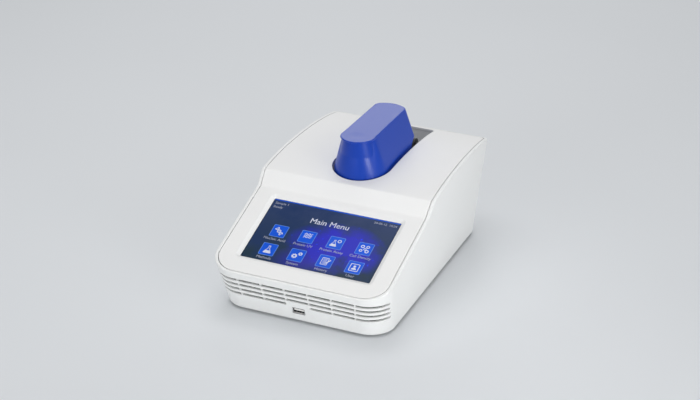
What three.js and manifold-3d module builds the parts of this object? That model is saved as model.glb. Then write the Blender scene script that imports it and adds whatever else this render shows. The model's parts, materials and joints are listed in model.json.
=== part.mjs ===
// Benchtop microvolume spectrophotometer with a sloped touch screen and a swing-up measuring arm.
// Millimetres. X runs to the right, Y to the back and Z up; the origin is on the table, under the middle.

import * as THREE from "three";
import { mergeVertices } from "three/addons/utils/BufferGeometryUtils.js";
import Module from "manifold-3d";

const wasm = await Module();
wasm.setup();

const degree = Math.PI / 180;

// Housing: the outside
const bodyDepth = 316.4;
const seamHalfWidth = 104;
const seamFrontHeight = 54.75;
const endRim = 2.7;
const sideRim = 4.15;
const seamGap = 0.3;
const sideLean = 5.48 * degree;
const planTaper = 2.25 * degree;
const frontLean = 19.85 * degree;
const backLean = 4.83 * degree;
const frontCornerRadius = 28;
const rearCornerRadius = 7;
const seamFrontRadius = 25.3;
const seamRearRadius = 5;
const shellBottom = 3;
const wall = 3;
const ledgeWidth = 5;
const ledgeThickness = 2.5;

// Housing: the top line, a slope, a step and a crown that bends down to the back
const slopeLength = 127.2;
const slopeAngle = 20.75 * degree;
const stepLength = 20.4;
const stepAngle = 48.6 * degree;
const crownEndRise = 4.282;
const crownFrontReach = 46.4;
const crownFrontRise = 11.5;
const crownRearReach = 48.4;
const crownRearRise = 9.6;
const crownSteps = 14;

// Clearances
const overrun = 6;
const seatGap = 0.3;
const skim = 0.02;

// Vent slots round the front
const ventTopDrop = 11.75;
const ventPitch = 6.47;
const ventRows = 4;
const ventSlotHeight = 2;
const ventBarPitch = 27.6;
const ventBarWidth = 1;
const ventWrap = 80 * degree;

// Vent slots in the back
const rearVentDrop = 27.4;
const rearVentRows = 5;
const rearVentSlots = 3;

// Top cover and the window for the display
const coverThickness = 2.6;
const windowSideMargin = 27.75;
const windowStart = 24;
const windowUpperMargin = 11.8;
const windowChamfer = 4.6;
const windowRadius = 1.4;

// Display behind the window
const glassMargin = 6;
const glassThickness = 1.1;
const moduleSideMargin = 6.25;
const moduleEndMargin = 4.3;
const moduleThickness = 6;
const frameThickness = 1.6;
const frameLip = 5;
const frameBarWidth = 9;
const frameTabReach = 7;
const frameTabLowShare = 0.09;
const frameTabHighShare = 0.91;
const frameTabRadius = 5;
const coverBossRadius = 3.6;

// Slot in the cover for the arm, and the well below it
const slotFrontSetback = 8.86;
const slotBackMargin = 6.5;
const slotRearRadius = 4;
const wellWall = 2;
const wellFlangeWidth = 5;
const wellFlangeThickness = 2;
const deckDrop = 15.118;
const deckThickness = 3;
const deckEndShare = 0.564951;
const wellFloorDrop = 9;

// Arm
const armFrontGap = 2;
const armSideGap = 2.4;
const armLift = 8;
const armFlareRise = 10;
const armTall = 56.6;
const armBaseHalfWidth = 32;
const armTopHalfWidth = 18.6;
const armTopFall = 2.4;
const armRearLean = 8.9017 * degree;
const armRearShare = 0.715686;
const armRearBulge = 7;
const armRearCorner = 4;
const armRings = 3;
const armWall = 2.4;
const undercutFrontShare = 0.577206;
const undercutCornerShare = 0.595588;
const undercutRiseShare = 0.76923;
const lipReach = 1.2;
const lipThickness = 1.8;
const dimpleRadius = 11;
const dimpleDepth = 0.9;
const dimpleSetback = 17;

// Hinge
const hingeShare = 0.748775;
const hingeRise = 10;
const hingePinRadius = 2.5;
const hingePinReach = 5;
const hingePlay = 0.3;
const earInset = 7;
const earThickness = 5;
const earRadius = 6.5;
const earHeadroom = 6.9;
const cheekInset = 8;
const cheekThickness = 3;
const cheekRadius = 6.5;
const bracketBaseHalfDepth = 14;
const bracketBaseReach = 7;
const bracketBaseThickness = 2.5;
const barrelRadius = 6;
const barrelGap = 1;

// Arm frame and optics in the arm
const armFrameThickness = 4;
const armFrameShare = 0.552696;
const pedestalShare = 0.221814;
const pedestalRadius = 4.5;
const pedestalTipRadius = 2;
const pedestalTipDrop = 1.5;
const samplePathGap = 0.5;
const pedestalHeadRadius = 6.5;
const pedestalHeadHeight = 2;
const pedestalTravelRoom = 1.4;
const lampHalfWidth = 14;
const lampDepthShare = 0.09804;
const lampHeightShare = 0.7161;
const lampCollarRadius = 8;
const lampCollarHeight = 5;
const lampPostRadius = 2;
const actuatorRadius = 6;
const actuatorHeightShare = 0.4184;
const actuatorShare = 0.375000;
const padInset = 13;
const padShare = 0.123775;
const padRadius = 3.5;
const padHeight = 2;
const restPostRadius = 4.5;
const armScrewX = 14.5;
const armScrewShare = 0.479167;
const armBossRadius = 3.4;

// Measuring deck
const guideRadius = 11;
const guideHeight = 3;
const lowerPedestalDepth = 12;
const pedestalFlangeRadius = 7.7;
const pedestalStemRadius = 5.4;
const pedestalTipLand = 0.8;
const deckLip = 1;
const cuvetteShare = 0.430147;
const cuvetteSize = 12.7;
const cuvetteDepth = 40;
const cuvetteBlock = 22;

// Base
const plateThickness = 2.5;
const footRadius = 8;
const footPlugRadius = 3.5;
const footPlugHeight = 4;
const footSideMargin = 32;
const footFrontMargin = 43.5;
const footRearMargin = 33.5;
const screwHeadRadius = 2.9;
const screwHeadHeight = 1.6;
const screwShankRadius = 1.4;
const screwLength = 9;
const baseBossRadius = 5;
const baseBossHeight = 16;
const baseScrewWallGap = 7.486;
const baseScrewFrontMargin = 55.5;
const baseScrewRearMargin = 42.5;
const standoffRadius = 3.5;
const standoffHeight = 5.5;

// Boards and the optical bench
const boardThickness = 1.6;
const boardSideMargin = 32;
const boardEndMargin = 18.5;
const mainBoardDepth = 95;
const powerBoardWidth = 56;
const powerBoardDepth = 89;
const powerBoardMargin = 14.5;
const standoffInset = 5;
const chipHeight = 2.4;
const benchSideMargin = 20;
const benchBoardGap = 10;
const benchDepth = 90;
const benchScrewGap = 9;
const benchHeight = 32;
const benchWall = 3;
const benchLidThickness = 2.5;
const benchCut = 24;
const benchRadius = 4;
const fibreRadius = 1.6;
const fibreBend = 24;
const fibreInset = 18;
const detectorBoardWidth = 44;
const detectorBoardHeight = 26;

// Sockets
const usbWidth = 14.4;
const usbTall = 7.2;
const usbDeep = 16;
const usbSkin = 0.4;
const usbTongueWidth = 11.6;
const usbTongueThickness = 1.9;
const usbTongueSetback = 1.2;
const socketPlay = 0.4;
const usbDeviceInset = 12;
const usbDeviceWidth = 12;
const usbDeviceTall = 10.8;
const usbDeviceDeep = 16;
const usbDeviceTongueWidth = 5.6;
const usbDeviceTongueTall = 3.2;
const inletInset = 36;
const inletWidth = 11;
const inletTall = 11.5;
const inletDeep = 14;
const inletBoreRadius = 3.2;
const inletPinRadius = 1.05;
const switchSideMargin = 44;
const switchHeight = 30;
const switchWidth = 13;
const switchTall = 19;
const switchFlange = 1.6;
const switchFlangeThickness = 1.6;
const switchDeep = 15;
const rockerAngle = 9 * degree;
const rockerPlay = 0.5;
const rockerReach = 6.9;
const rockerPivotDepth = 2;
const rockerDrumRadius = 4.2;
const trunnionRadius = 1.1;

// Facets
const roundSegments = 24;
const smallRoundSegments = 16;
const screwSegments = 12;
const cornerSteps = 8;
const smallCornerSteps = 4;
const slotFrontSteps = 20;
const armFrontSteps = 20;
const armRearSteps = 8;
const undercutSteps = 10;
const dimpleSteps = 5;
const fibreSteps = 14;
const fibreSegments = 5;

// Marks that the pieces are placed from: ends of the top line, and shares of the slot's length

const seamFrontY = -(bodyDepth / 2 - endRim);
const seamBackY = bodyDepth / 2 - endRim;
const slopeStart = new THREE.Vector2(seamFrontY, seamFrontHeight);
const slopeEnd = new THREE.Vector2(
  seamFrontY + slopeLength * Math.cos(slopeAngle), seamFrontHeight + slopeLength * Math.sin(slopeAngle));
const stepEnd = new THREE.Vector2(
  slopeEnd.x + stepLength * Math.cos(stepAngle), slopeEnd.y + stepLength * Math.sin(stepAngle));
const crownEndHeight = stepEnd.y + crownEndRise;
const crownEnd = new THREE.Vector2(seamBackY, crownEndHeight);

const ventTopHeight = seamFrontHeight - ventTopDrop;
const ventBars = 2 * Math.round((seamHalfWidth - frontCornerRadius) / ventBarPitch);
const rearVentTopHeight = crownEndHeight - rearVentDrop;
const windowWidth = 2 * (seamHalfWidth - windowSideMargin);
const windowHeight = slopeLength - windowStart - windowUpperMargin;
const moduleWidth = windowWidth + 2 * moduleSideMargin;
const moduleHeight = windowHeight + 2 * moduleEndMargin;
const frameTabX = moduleWidth / 2 + frameTabReach;

const slotHalfWidth = armBaseHalfWidth + armSideGap;
const slotFront = stepEnd.x + slotFrontSetback;
const slotBack = seamBackY - slotBackMargin;

function alongSlot(share) {
  return THREE.MathUtils.lerp(slotFront, slotBack, share);
}

const deckHeight = stepEnd.y - deckDrop;
const deckEnd = alongSlot(deckEndShare);
const wellFloorHeight = deckHeight - wellFloorDrop;
const pedestalY = alongSlot(pedestalShare);
const cuvetteY = alongSlot(cuvetteShare);

const armFront = slotFront + armFrontGap;
const armBottom = deckHeight + armLift;
const armFlareEnd = armBottom + armFlareRise;
const armTopRearHeight = armBottom + armTall;
const armTopFrontHeight = armTopRearHeight - armTopFall;
const armCeiling = armTopFrontHeight - armWall;
const hingeY = alongSlot(hingeShare);
const hingeHeight = armBottom + hingeRise;
const earCentre = armBaseHalfWidth - earInset;
const cheekCentre = earCentre - cheekInset;
const hingePinHalfLength = earCentre + hingePinReach;
const bracketBaseHalfWidth = cheekCentre + bracketBaseReach;
const armRearLow = alongSlot(armRearShare);
const armRearLowHeight = hingeHeight + earRadius + earHeadroom;
const armRearTop = armRearLow - (armTopRearHeight - armRearLowHeight) * Math.tan(armRearLean);
const armUndercutFront = alongSlot(undercutFrontShare);
const armUndercutCornerY = alongSlot(undercutCornerShare);
const armUndercutCornerHeight = THREE.MathUtils.lerp(armBottom, armRearLowHeight, undercutRiseShare);
const armFrameEnd = alongSlot(armFrameShare);
const lampHalfDepth = lampDepthShare * (slotBack - slotFront);
const actuatorY = alongSlot(actuatorShare);
const padX = armBaseHalfWidth - padInset;
const padY = alongSlot(padShare);
const armScrewY = alongSlot(armScrewShare);
const pedestalTipHeight = armBottom - pedestalTipDrop;

const footX = seamHalfWidth - footSideMargin;
const footFrontY = seamFrontY + footFrontMargin;
const footRearY = seamBackY - footRearMargin;
const baseScrewFrontY = seamFrontY + baseScrewFrontMargin;
const baseScrewRearY = seamBackY - baseScrewRearMargin;
const baseScrewX = halfWidthAt(baseScrewRearY, shellBottom) - baseScrewWallGap;
const mainBoardHalfWidth = seamHalfWidth - boardSideMargin;
const mainBoardFront = seamFrontY + boardEndMargin;
const powerBoardRight = seamHalfWidth - boardSideMargin;
const powerBoardBack = seamBackY - powerBoardMargin;
const benchLeft = benchSideMargin - seamHalfWidth;
const benchRight = powerBoardRight - powerBoardWidth - benchBoardGap;
const benchBack = baseScrewRearY - benchScrewGap;
const benchFront = benchBack - benchDepth;
const usbDeviceX = powerBoardRight - usbDeviceInset;
const inletX = powerBoardRight - inletInset;
const switchX = switchSideMargin - seamHalfWidth;

// Geometry helpers

function material(color, roughness, metalness) {
  return new THREE.MeshStandardMaterial({ color, roughness, metalness });
}

const paint = {
  shellWhite: () => material(0xe9ebec, 0.45, 0),
  coverWhite: () => material(0xeeeeee, 0.4, 0),
  armBlue: () => material(0x2d4ba5, 0.35, 0),
  wellGrey: () => material(0x77797a, 0.6, 0),
  blackPlastic: () => material(0x1d1e20, 0.55, 0),
  rubber: () => material(0x222222, 0.9, 0),
  steel: () => material(0xb9bcc0, 0.3, 1),
  aluminium: () => material(0xa9adb2, 0.4, 1),
  glass: () => material(0x0e1a33, 0.08, 0),
  board: () => material(0x1f5c37, 0.6, 0),
  brass: () => material(0xb08d45, 0.35, 1),
  fibre: () => material(0x2a2a2e, 0.5, 0),
  socketWhite: () => material(0xdadada, 0.5, 0),
};

const weld = 1e-4;

function solidOf(geometry) {
  const bare = geometry.index ? geometry.toNonIndexed() : geometry.clone();
  bare.deleteAttribute("normal");
  bare.deleteAttribute("uv");
  const merged = mergeVertices(bare, weld);
  const mesh = new wasm.Mesh({
    numProp: 3,
    vertProperties: new Float32Array(merged.attributes.position.array),
    triVerts: new Uint32Array(merged.index.array),
  });
  return new wasm.Manifold(mesh);
}

function geometryOf(solid) {
  const mesh = solid.getMesh();
  const geometry = new THREE.BufferGeometry();
  geometry.setAttribute("position", new THREE.BufferAttribute(new Float32Array(mesh.vertProperties), 3));
  geometry.setIndex(new THREE.BufferAttribute(new Uint32Array(mesh.triVerts), 1));
  geometry.computeVertexNormals();
  return geometry;
}

function piece(name, shape, finish) {
  const geometry = shape.isBufferGeometry ? shape : geometryOf(shape);
  const mesh = new THREE.Mesh(geometry, finish());
  mesh.name = name;
  return mesh;
}

function joined(solids) {
  return solids.reduce((sum, solid) => sum.add(solid));
}

function cutFrom(solid, cuts) {
  return cuts.reduce((rest, cut) => rest.subtract(cut), solid);
}

function boxGeometry(low, high) {
  const size = new THREE.Vector3().subVectors(high, low);
  const centre = new THREE.Vector3().addVectors(low, high).multiplyScalar(0.5);
  return new THREE.BoxGeometry(size.x, size.y, size.z).translate(centre.x, centre.y, centre.z);
}

function box(x0, x1, y0, y1, z0, z1) {
  return solidOf(boxGeometry(new THREE.Vector3(x0, y0, z0), new THREE.Vector3(x1, y1, z1)));
}

// A turned solid about the upright line through x and y; the profile lists radius and height
function turned(profile, x, y, segments = roundSegments) {
  const points = profile.map(([radius, height]) => new THREE.Vector2(radius, height));
  const geometry = new THREE.LatheGeometry(points, segments);
  geometry.rotateX(Math.PI / 2);
  return solidOf(geometry.translate(x, y, 0));
}

function upright(radius, x, y, z0, z1, segments = roundSegments) {
  return turned([[0, z0], [radius, z0], [radius, z1], [0, z1]], x, y, segments);
}

function crossbar(radius, y, z, x0, x1, segments = roundSegments) {
  const rod = new THREE.CylinderGeometry(radius, radius, x1 - x0, segments);
  rod.rotateZ(Math.PI / 2);
  return solidOf(rod.translate((x0 + x1) / 2, y, z));
}

// An outline in Y and Z pushed along X
function sidePrism(points, x0, x1) {
  const shape = new THREE.Shape(points);
  const geometry = new THREE.ExtrudeGeometry(shape, { depth: x1 - x0, bevelEnabled: false });
  const turn = new THREE.Matrix4().makeBasis(
    new THREE.Vector3(0, 1, 0), new THREE.Vector3(0, 0, 1), new THREE.Vector3(1, 0, 0));
  return solidOf(geometry.applyMatrix4(turn).translate(x0, 0, 0));
}

// An outline in X and Y pushed up along Z
function planPrism(points, z0, z1) {
  const shape = new THREE.Shape(points);
  const geometry = new THREE.ExtrudeGeometry(shape, { depth: z1 - z0, bevelEnabled: false });
  return solidOf(geometry.translate(0, 0, z0));
}

function arcPoints(x, y, radius, from, steps, sweep) {
  return Array.from({ length: steps + 1 }, (_, step) => {
    const turn = from + sweep * step / steps;
    return new THREE.Vector2(x + radius * Math.cos(turn), y + radius * Math.sin(turn));
  });
}

function atHeight(outline, z) {
  return outline.map((point) => new THREE.Vector3(point.x, point.y, z));
}

// Closed rings of equal count, joined ring to ring and capped at both ends
function loft(rings) {
  const count = rings[0].length;
  const positions = rings.flat().flatMap((point) => [point.x, point.y, point.z]);
  const index = [];
  for (let level = 0; level + 1 < rings.length; level += 1) {
    for (let step = 0; step < count; step += 1) {
      const low = level * count + step;
      const lowNext = level * count + (step + 1) % count;
      index.push(low, lowNext, lowNext + count, low, lowNext + count, low + count);
    }
  }
  const capOutline = rings[0].map((point) => new THREE.Vector2(point.x, point.y));
  const cap = THREE.ShapeUtils.triangulateShape(capOutline, []);
  const last = (rings.length - 1) * count;
  for (const [a, b, c] of cap) {
    index.push(a, c, b, last + a, last + b, last + c);
  }
  const geometry = new THREE.BufferGeometry();
  geometry.setAttribute("position", new THREE.Float32BufferAttribute(positions, 3));
  geometry.setIndex(index);
  return solidOf(geometry);
}

// A polygon whose corners are rounded, each by its own radius
function roundedOutline(corners, radii, steps) {
  const points = [];
  corners.forEach((corner, place) => {
    const before = corners[(place + corners.length - 1) % corners.length];
    const after = corners[(place + 1) % corners.length];
    const toBefore = before.clone().sub(corner).normalize();
    const toAfter = after.clone().sub(corner).normalize();
    const half = Math.acos(toBefore.dot(toAfter)) / 2;
    const radius = radii[place];
    const toMiddle = toBefore.clone().add(toAfter).normalize();
    const middle = toMiddle.multiplyScalar(radius / Math.sin(half)).add(corner);
    const start = toBefore.multiplyScalar(radius / Math.tan(half)).add(corner).sub(middle);
    const sweep = Math.PI - 2 * half;
    for (let step = 0; step <= steps; step += 1) {
      points.push(start.clone().rotateAround(new THREE.Vector2(), sweep * step / steps).add(middle));
    }
  });
  return points;
}

function roundedRectangle(halfWidth, halfHeight, radius, centreY) {
  const corners = [[-1, -1], [1, -1], [1, 1], [-1, 1]].map(
    ([x, y]) => new THREE.Vector2(x * halfWidth, centreY + y * halfHeight));
  return roundedOutline(corners, corners.map(() => radius), smallCornerSteps);
}

// Outside walls, all of them leaning in towards the table

const rimFrontHeight = seamFrontHeight - endRim * Math.tan(slopeAngle);
const rimBackHeight = crownEndHeight - endRim * crownRearRise / crownRearReach;
const wallTop = crownEndHeight + crownFrontRise;

function frontY(z) {
  return -bodyDepth / 2 + (rimFrontHeight - z) * Math.tan(frontLean);
}

function backY(z) {
  return bodyDepth / 2 - (rimBackHeight - z) * Math.tan(backLean);
}

function halfWidthAt(y, z) {
  return seamHalfWidth - (y - seamFrontY) * Math.tan(planTaper) + (z - seamFrontHeight) * Math.tan(sideLean);
}

function wallOutline(z, inset) {
  const front = frontY(z) + inset.end;
  const back = backY(z) - inset.end;
  const halfFront = halfWidthAt(front, z) - inset.side;
  const halfBack = halfWidthAt(back, z) - inset.side;
  const corners = [
    new THREE.Vector2(-halfFront, front),
    new THREE.Vector2(halfFront, front),
    new THREE.Vector2(halfBack, back),
    new THREE.Vector2(-halfBack, back),
  ];
  const radii = [inset.frontRadius, inset.frontRadius, inset.rearRadius, inset.rearRadius];
  return roundedOutline(corners, radii, cornerSteps);
}

function insetBy(side, end, frontRadius, rearRadius) {
  return { side, end, frontRadius, rearRadius };
}

const outerWalls = insetBy(0, 0, frontCornerRadius, rearCornerRadius);
const innerWalls = insetBy(wall, wall, frontCornerRadius - wall, rearCornerRadius - wall);
const seatWalls = insetBy(
  sideRim - seamGap, endRim - seamGap, seamFrontRadius + seamGap, seamRearRadius + seamGap);
const coverWalls = insetBy(sideRim + seamGap, endRim + seamGap, seamFrontRadius, seamRearRadius);
const throatWalls = insetBy(
  sideRim + ledgeWidth, endRim + ledgeWidth, seamFrontRadius - ledgeWidth, seamRearRadius);
const insideGap = wall + seatGap;
const plateWalls = insetBy(insideGap, insideGap, frontCornerRadius - wall, rearCornerRadius - wall);
const flangeWalls = insetBy(insideGap, insideGap, frontCornerRadius, seamRearRadius);

function wallsPrism(inset, z0, z1) {
  return loft([z0, z1].map((z) => atHeight(wallOutline(z, inset), z)));
}

// Top line in Y and Z, and the space between it and a line parallel to it

function topLine() {
  const crown = new THREE.CubicBezierCurve(
    stepEnd,
    new THREE.Vector2(stepEnd.x + crownFrontReach, stepEnd.y + crownFrontRise),
    new THREE.Vector2(crownEnd.x - crownRearReach, crownEnd.y + crownRearRise),
    crownEnd);
  const frontRun = (endRim + overrun) * 2;
  const start = new THREE.Vector2(slopeStart.x - frontRun, slopeStart.y - frontRun * Math.tan(slopeAngle));
  const end = new THREE.Vector2(
    crownEnd.x + frontRun, crownEnd.y - frontRun * crownRearRise / crownRearReach);
  return [start, slopeEnd, ...crown.getPoints(crownSteps), end];
}

function lowered(points, depth) {
  const normals = points.slice(1).map((point, place) => {
    const along = point.clone().sub(points[place]).normalize();
    return new THREE.Vector2(-along.y, along.x);
  });
  return points.map((point, place) => {
    const before = normals[Math.max(place - 1, 0)];
    const after = normals[Math.min(place, normals.length - 1)];
    const mitre = before.clone().add(after).divideScalar(1 + before.dot(after));
    return point.clone().sub(mitre.multiplyScalar(depth));
  });
}

const sideways = seamHalfWidth * 1.5;

function band(upperDepth, lowerDepth) {
  const line = topLine();
  const points = [...lowered(line, lowerDepth), ...lowered(line, upperDepth).reverse()];
  return sidePrism(points, -sideways, sideways);
}

function below(depth) {
  const line = lowered(topLine(), depth);
  const floor = -overrun;
  const frontFoot = new THREE.Vector2(line[0].x, floor);
  const rearFoot = new THREE.Vector2(line[line.length - 1].x, floor);
  return sidePrism([frontFoot, rearFoot, ...line.reverse()], -sideways, sideways);
}

// Frame of the sloped panel: X across, Y up the slope, Z out of the panel
const slopeFrame = new THREE.Matrix4().makeRotationX(slopeAngle).setPosition(0, slopeStart.x, slopeStart.y);

function onSlope(solid) {
  return solid.transform(slopeFrame.elements);
}

// Vents: a flat band that follows the front and turns both corners

function ventBand(z, halfHeight) {
  const outside = insetBy(-overrun, -overrun, frontCornerRadius + overrun, rearCornerRadius);
  const depth = wall + overrun;
  const inside = insetBy(depth, depth, frontCornerRadius - depth, rearCornerRadius);
  const ring = wallsPrism(outside, z - halfHeight, z + halfHeight)
    .subtract(wallsPrism(inside, z - halfHeight - overrun, z + halfHeight + overrun));
  const end = frontY(z) + frontCornerRadius * (1 - Math.cos(ventWrap));
  return ring.intersect(box(-sideways, sideways, -bodyDepth, end, z - overrun, z + overrun));
}

function ventRow(row) {
  const z = ventTopHeight - row * ventPitch;
  const bars = [];
  for (let bar = 0; bar < ventBars; bar += 1) {
    const x = (bar - (ventBars - 1) / 2) * ventBarPitch;
    bars.push(box(x - ventBarWidth / 2, x + ventBarWidth / 2, -bodyDepth, 0, z - overrun, z + overrun));
  }
  if (row === ventRows - 1) {
    bars.push(box(-ventBarPitch / 2, ventBarPitch / 2, -bodyDepth, 0, z - overrun, z + overrun));
  }
  return cutFrom(ventBand(z, ventSlotHeight / 2), bars);
}

function rearVentRow(row) {
  const z = rearVentTopHeight - row * ventPitch;
  const slots = [];
  for (let slot = 0; slot < rearVentSlots; slot += 1) {
    const x = (slot - (rearVentSlots - 1) / 2) * ventBarPitch;
    const half = (ventBarPitch - ventBarWidth) / 2;
    slots.push(box(x - half, x + half, backY(z) - wall - overrun, backY(z) + overrun,
      z - ventSlotHeight / 2, z + ventSlotHeight / 2));
  }
  return joined(slots);
}

// Slot for the arm, in plan

function slotOutline(grow) {
  const half = slotHalfWidth + grow;
  const radius = slotRearRadius + grow;
  const rear = slotBack + grow - radius;
  return [
    ...arcPoints(0, slotFront + slotHalfWidth, half, Math.PI, slotFrontSteps, Math.PI),
    ...arcPoints(half - radius, rear, radius, 0, smallCornerSteps, Math.PI / 2),
    ...arcPoints(radius - half, rear, radius, Math.PI / 2, smallCornerSteps, Math.PI / 2),
  ];
}

function slotPrism(grow, z0, z1) {
  return planPrism(slotOutline(grow), z0, z1);
}

// Housing pieces

const bossPlaces = [
  [-baseScrewX, baseScrewFrontY], [baseScrewX, baseScrewFrontY],
  [-baseScrewX, baseScrewRearY], [baseScrewX, baseScrewRearY],
];
const plateTop = shellBottom + plateThickness;

function rearCut(x, z, width, tall) {
  return box(x - width / 2, x + width / 2, backY(z) - wall - overrun, backY(z) + overrun,
    z - tall / 2, z + tall / 2);
}

function housingBosses() {
  return bossPlaces.map(([x, y]) => {
    const post = upright(baseBossRadius, x, y, plateTop + seatGap, plateTop + baseBossHeight);
    const side = Math.sign(x);
    const rib = box(Math.min(x, side * sideways), Math.max(x, side * sideways), y - wall / 2, y + wall / 2,
      plateTop + seatGap, plateTop + baseBossHeight);
    return post.add(rib);
  });
}

function frontSocketCut() {
  const halfWidth = usbWidth / 2 + socketPlay;
  const halfTall = usbTall / 2 + socketPlay;
  const face = frontY(usbHeight);
  return box(-halfWidth, halfWidth, face - overrun, face + wall + overrun,
    usbHeight - halfTall, usbHeight + halfTall);
}

function shellCuts() {
  const play = 2 * socketPlay;
  const wellRoom = slotPrism(wellWall + wellFlangeWidth + seatGap, deckHeight, wallTop)
    .intersect(wallsPrism(innerWalls, shellBottom, wallTop));
  const pilots = bossPlaces.map(([x, y]) => upright(
    screwShankRadius + seatGap, x, y, shellBottom, plateTop + baseBossHeight - wall, screwSegments));
  return [
    ...Array.from({ length: ventRows }, (_, row) => ventRow(row)),
    ...Array.from({ length: rearVentRows }, (_, row) => rearVentRow(row)),
    frontSocketCut(),
    rearCut(usbDeviceX, usbDeviceHeight, usbDeviceWidth + play, usbDeviceTall + play),
    rearCut(inletX, inletHeight, inletWidth + play, inletTall + play),
    rearCut(switchX, switchHeight, switchWidth + play, switchTall + play),
    wellRoom,
    ...pilots,
  ];
}

function bodyShell() {
  const seatDepth = coverThickness + seatGap;
  const outer = wallsPrism(outerWalls, shellBottom, wallTop).intersect(below(0));
  const cavity = wallsPrism(innerWalls, shellBottom - overrun, wallTop)
    .intersect(below(seatDepth + ledgeThickness));
  const seat = wallsPrism(seatWalls, shellBottom, wallTop).intersect(band(-overrun, seatDepth));
  const throat = wallsPrism(throatWalls, shellBottom - overrun, wallTop + overrun);
  const bosses = joined(housingBosses()).intersect(outer);
  const hull = cutFrom(outer, [cavity, seat, throat]).add(bosses);
  return piece("body_shell", cutFrom(hull, shellCuts()), paint.shellWhite);
}

const windowMiddle = windowStart + windowHeight / 2;
const frameTabs = [-1, 1].flatMap((side) => [frameTabLowShare, frameTabHighShare].map(
  (share) => [side * frameTabX, windowStart + share * windowHeight]));
const glassTop = -(coverThickness + seatGap);
const moduleTop = glassTop - glassThickness - seatGap;
const frameTop = moduleTop - moduleThickness - seatGap;

function windowCut() {
  const ring = (grow, z) => atHeight(roundedRectangle(
    windowWidth / 2 + grow, windowHeight / 2 + grow, windowRadius, windowMiddle), z);
  const spread = windowChamfer * overrun / coverThickness;
  return onSlope(loft([
    ring(0, -coverThickness - overrun), ring(0, -coverThickness), ring(windowChamfer, 0),
    ring(windowChamfer + spread, overrun)]));
}

function topCover() {
  const panel = wallsPrism(coverWalls, shellBottom, wallTop).intersect(band(0, coverThickness));
  const bosses = frameTabs.map(([x, y]) => onSlope(
    upright(coverBossRadius, x, y, frameTop + seatGap, -skim, smallRoundSegments)));
  const pilots = frameTabs.map(([x, y]) => onSlope(
    upright(screwShankRadius + seatGap, x, y, frameTop, -coverThickness, screwSegments)));
  return piece("top_cover", cutFrom(panel.add(joined(bosses)), [
    windowCut(), slotPrism(0, deckHeight, wallTop + overrun), ...pilots]), paint.coverWhite);
}

function screwHole(x, y, z0, z1) {
  return upright(screwShankRadius + seatGap, x, y, z0, z1, screwSegments);
}

function screwHeadRoom(x, y, z) {
  return upright(screwHeadRadius + seatGap, x, y, z - overrun, z + screwHeadHeight, screwSegments);
}

function basePlate() {
  const plate = wallsPrism(plateWalls, shellBottom, plateTop);
  const low = shellBottom - overrun;
  const high = plateTop + overrun;
  const standoffs = [...boardCorners(mainBoard), ...boardCorners(powerBoard)].map(([x, y]) => upright(
    standoffRadius, x, y, plateTop - skim, plateTop + standoffHeight, screwSegments));
  const footHoles = footPlaces.map(([, x, y]) => upright(
    footPlugRadius + seatGap, x, y, low, high, smallRoundSegments));
  const screwHoles = bossPlaces.flatMap(
    ([x, y]) => [screwHole(x, y, low, high), screwHeadRoom(x, y, shellBottom)]);
  const solid = cutFrom(joined([plate, ...standoffs]), [...footHoles, ...screwHoles]);
  return piece("base_plate", solid, paint.shellWhite);
}

const footPlaces = [
  ["front_left", -footX, footFrontY], ["front_right", footX, footFrontY],
  ["rear_left", -footX, footRearY], ["rear_right", footX, footRearY],
];

function foot([place, x, y]) {
  const bevel = shellBottom / 4;
  const plugTop = shellBottom + footPlugHeight;
  const shape = turned([
    [0, 0], [footRadius - bevel, 0], [footRadius, bevel], [footRadius, shellBottom],
    [footPlugRadius, shellBottom], [footPlugRadius, plugTop], [0, plugTop],
  ], x, y, smallRoundSegments);
  return piece(`foot_${place}`, shape, paint.rubber);
}

// A pan screw that points up, with its head at the bottom
function screwShape(x, y, headZ, length = screwLength) {
  const headTop = headZ + screwHeadHeight - seatGap;
  return turned([
    [0, headZ], [screwHeadRadius, headZ], [screwHeadRadius, headTop], [screwShankRadius, headTop],
    [screwShankRadius, headTop + length], [0, headTop + length],
  ], x, y, screwSegments);
}

function baseScrews() {
  return bossPlaces.map(([x, y], place) => piece(
    `base_screw_${footPlaces[place][0]}`, screwShape(x, y, shellBottom), paint.steel));
}

// Display pieces, built flat and then laid on the slope

function touchGlass() {
  const outline = roundedRectangle(
    windowWidth / 2 + glassMargin, windowHeight / 2 + glassMargin, glassMargin / 2, windowMiddle);
  return piece("touch_glass", onSlope(planPrism(outline, glassTop - glassThickness, glassTop)), paint.glass);
}

// A flat block centred on the window, from one depth to another
function slopeBlock(halfWidth, halfTall, z0, z1) {
  return box(-halfWidth, halfWidth, windowMiddle - halfTall, windowMiddle + halfTall, z0, z1);
}

function displayModule() {
  const body = slopeBlock(moduleWidth / 2, moduleHeight / 2, moduleTop - moduleThickness, moduleTop);
  return piece("display_module", onSlope(body), paint.aluminium);
}

function displayFrame() {
  const roomX = moduleWidth / 2 + seatGap;
  const roomY = moduleHeight / 2 + seatGap;
  const outerX = roomX + frameThickness;
  const outerY = roomY + frameThickness;
  const low = frameTop - frameThickness;
  const tray = slopeBlock(outerX, outerY, low, frameTop + frameLip);
  const room = slopeBlock(roomX, roomY, frameTop, frameTop + frameLip + overrun);
  const opening = slopeBlock(
    outerX - frameBarWidth, outerY - frameBarWidth, low - overrun, frameTop + overrun);
  const tabs = frameTabs.map(([x, y]) => {
    const inner = Math.sign(x) * roomX;
    const arm = box(
      Math.min(x, inner), Math.max(x, inner), y - frameTabRadius, y + frameTabRadius, low, frameTop);
    return upright(frameTabRadius, x, y, low, frameTop, smallRoundSegments).add(arm);
  });
  const holes = frameTabs.map(([x, y]) => screwHole(x, y, low - overrun, frameTop + overrun));
  const solid = cutFrom(tray, [room, opening]).add(joined(tabs)).subtract(joined(holes));
  return piece("display_frame", onSlope(solid), paint.steel);
}

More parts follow.
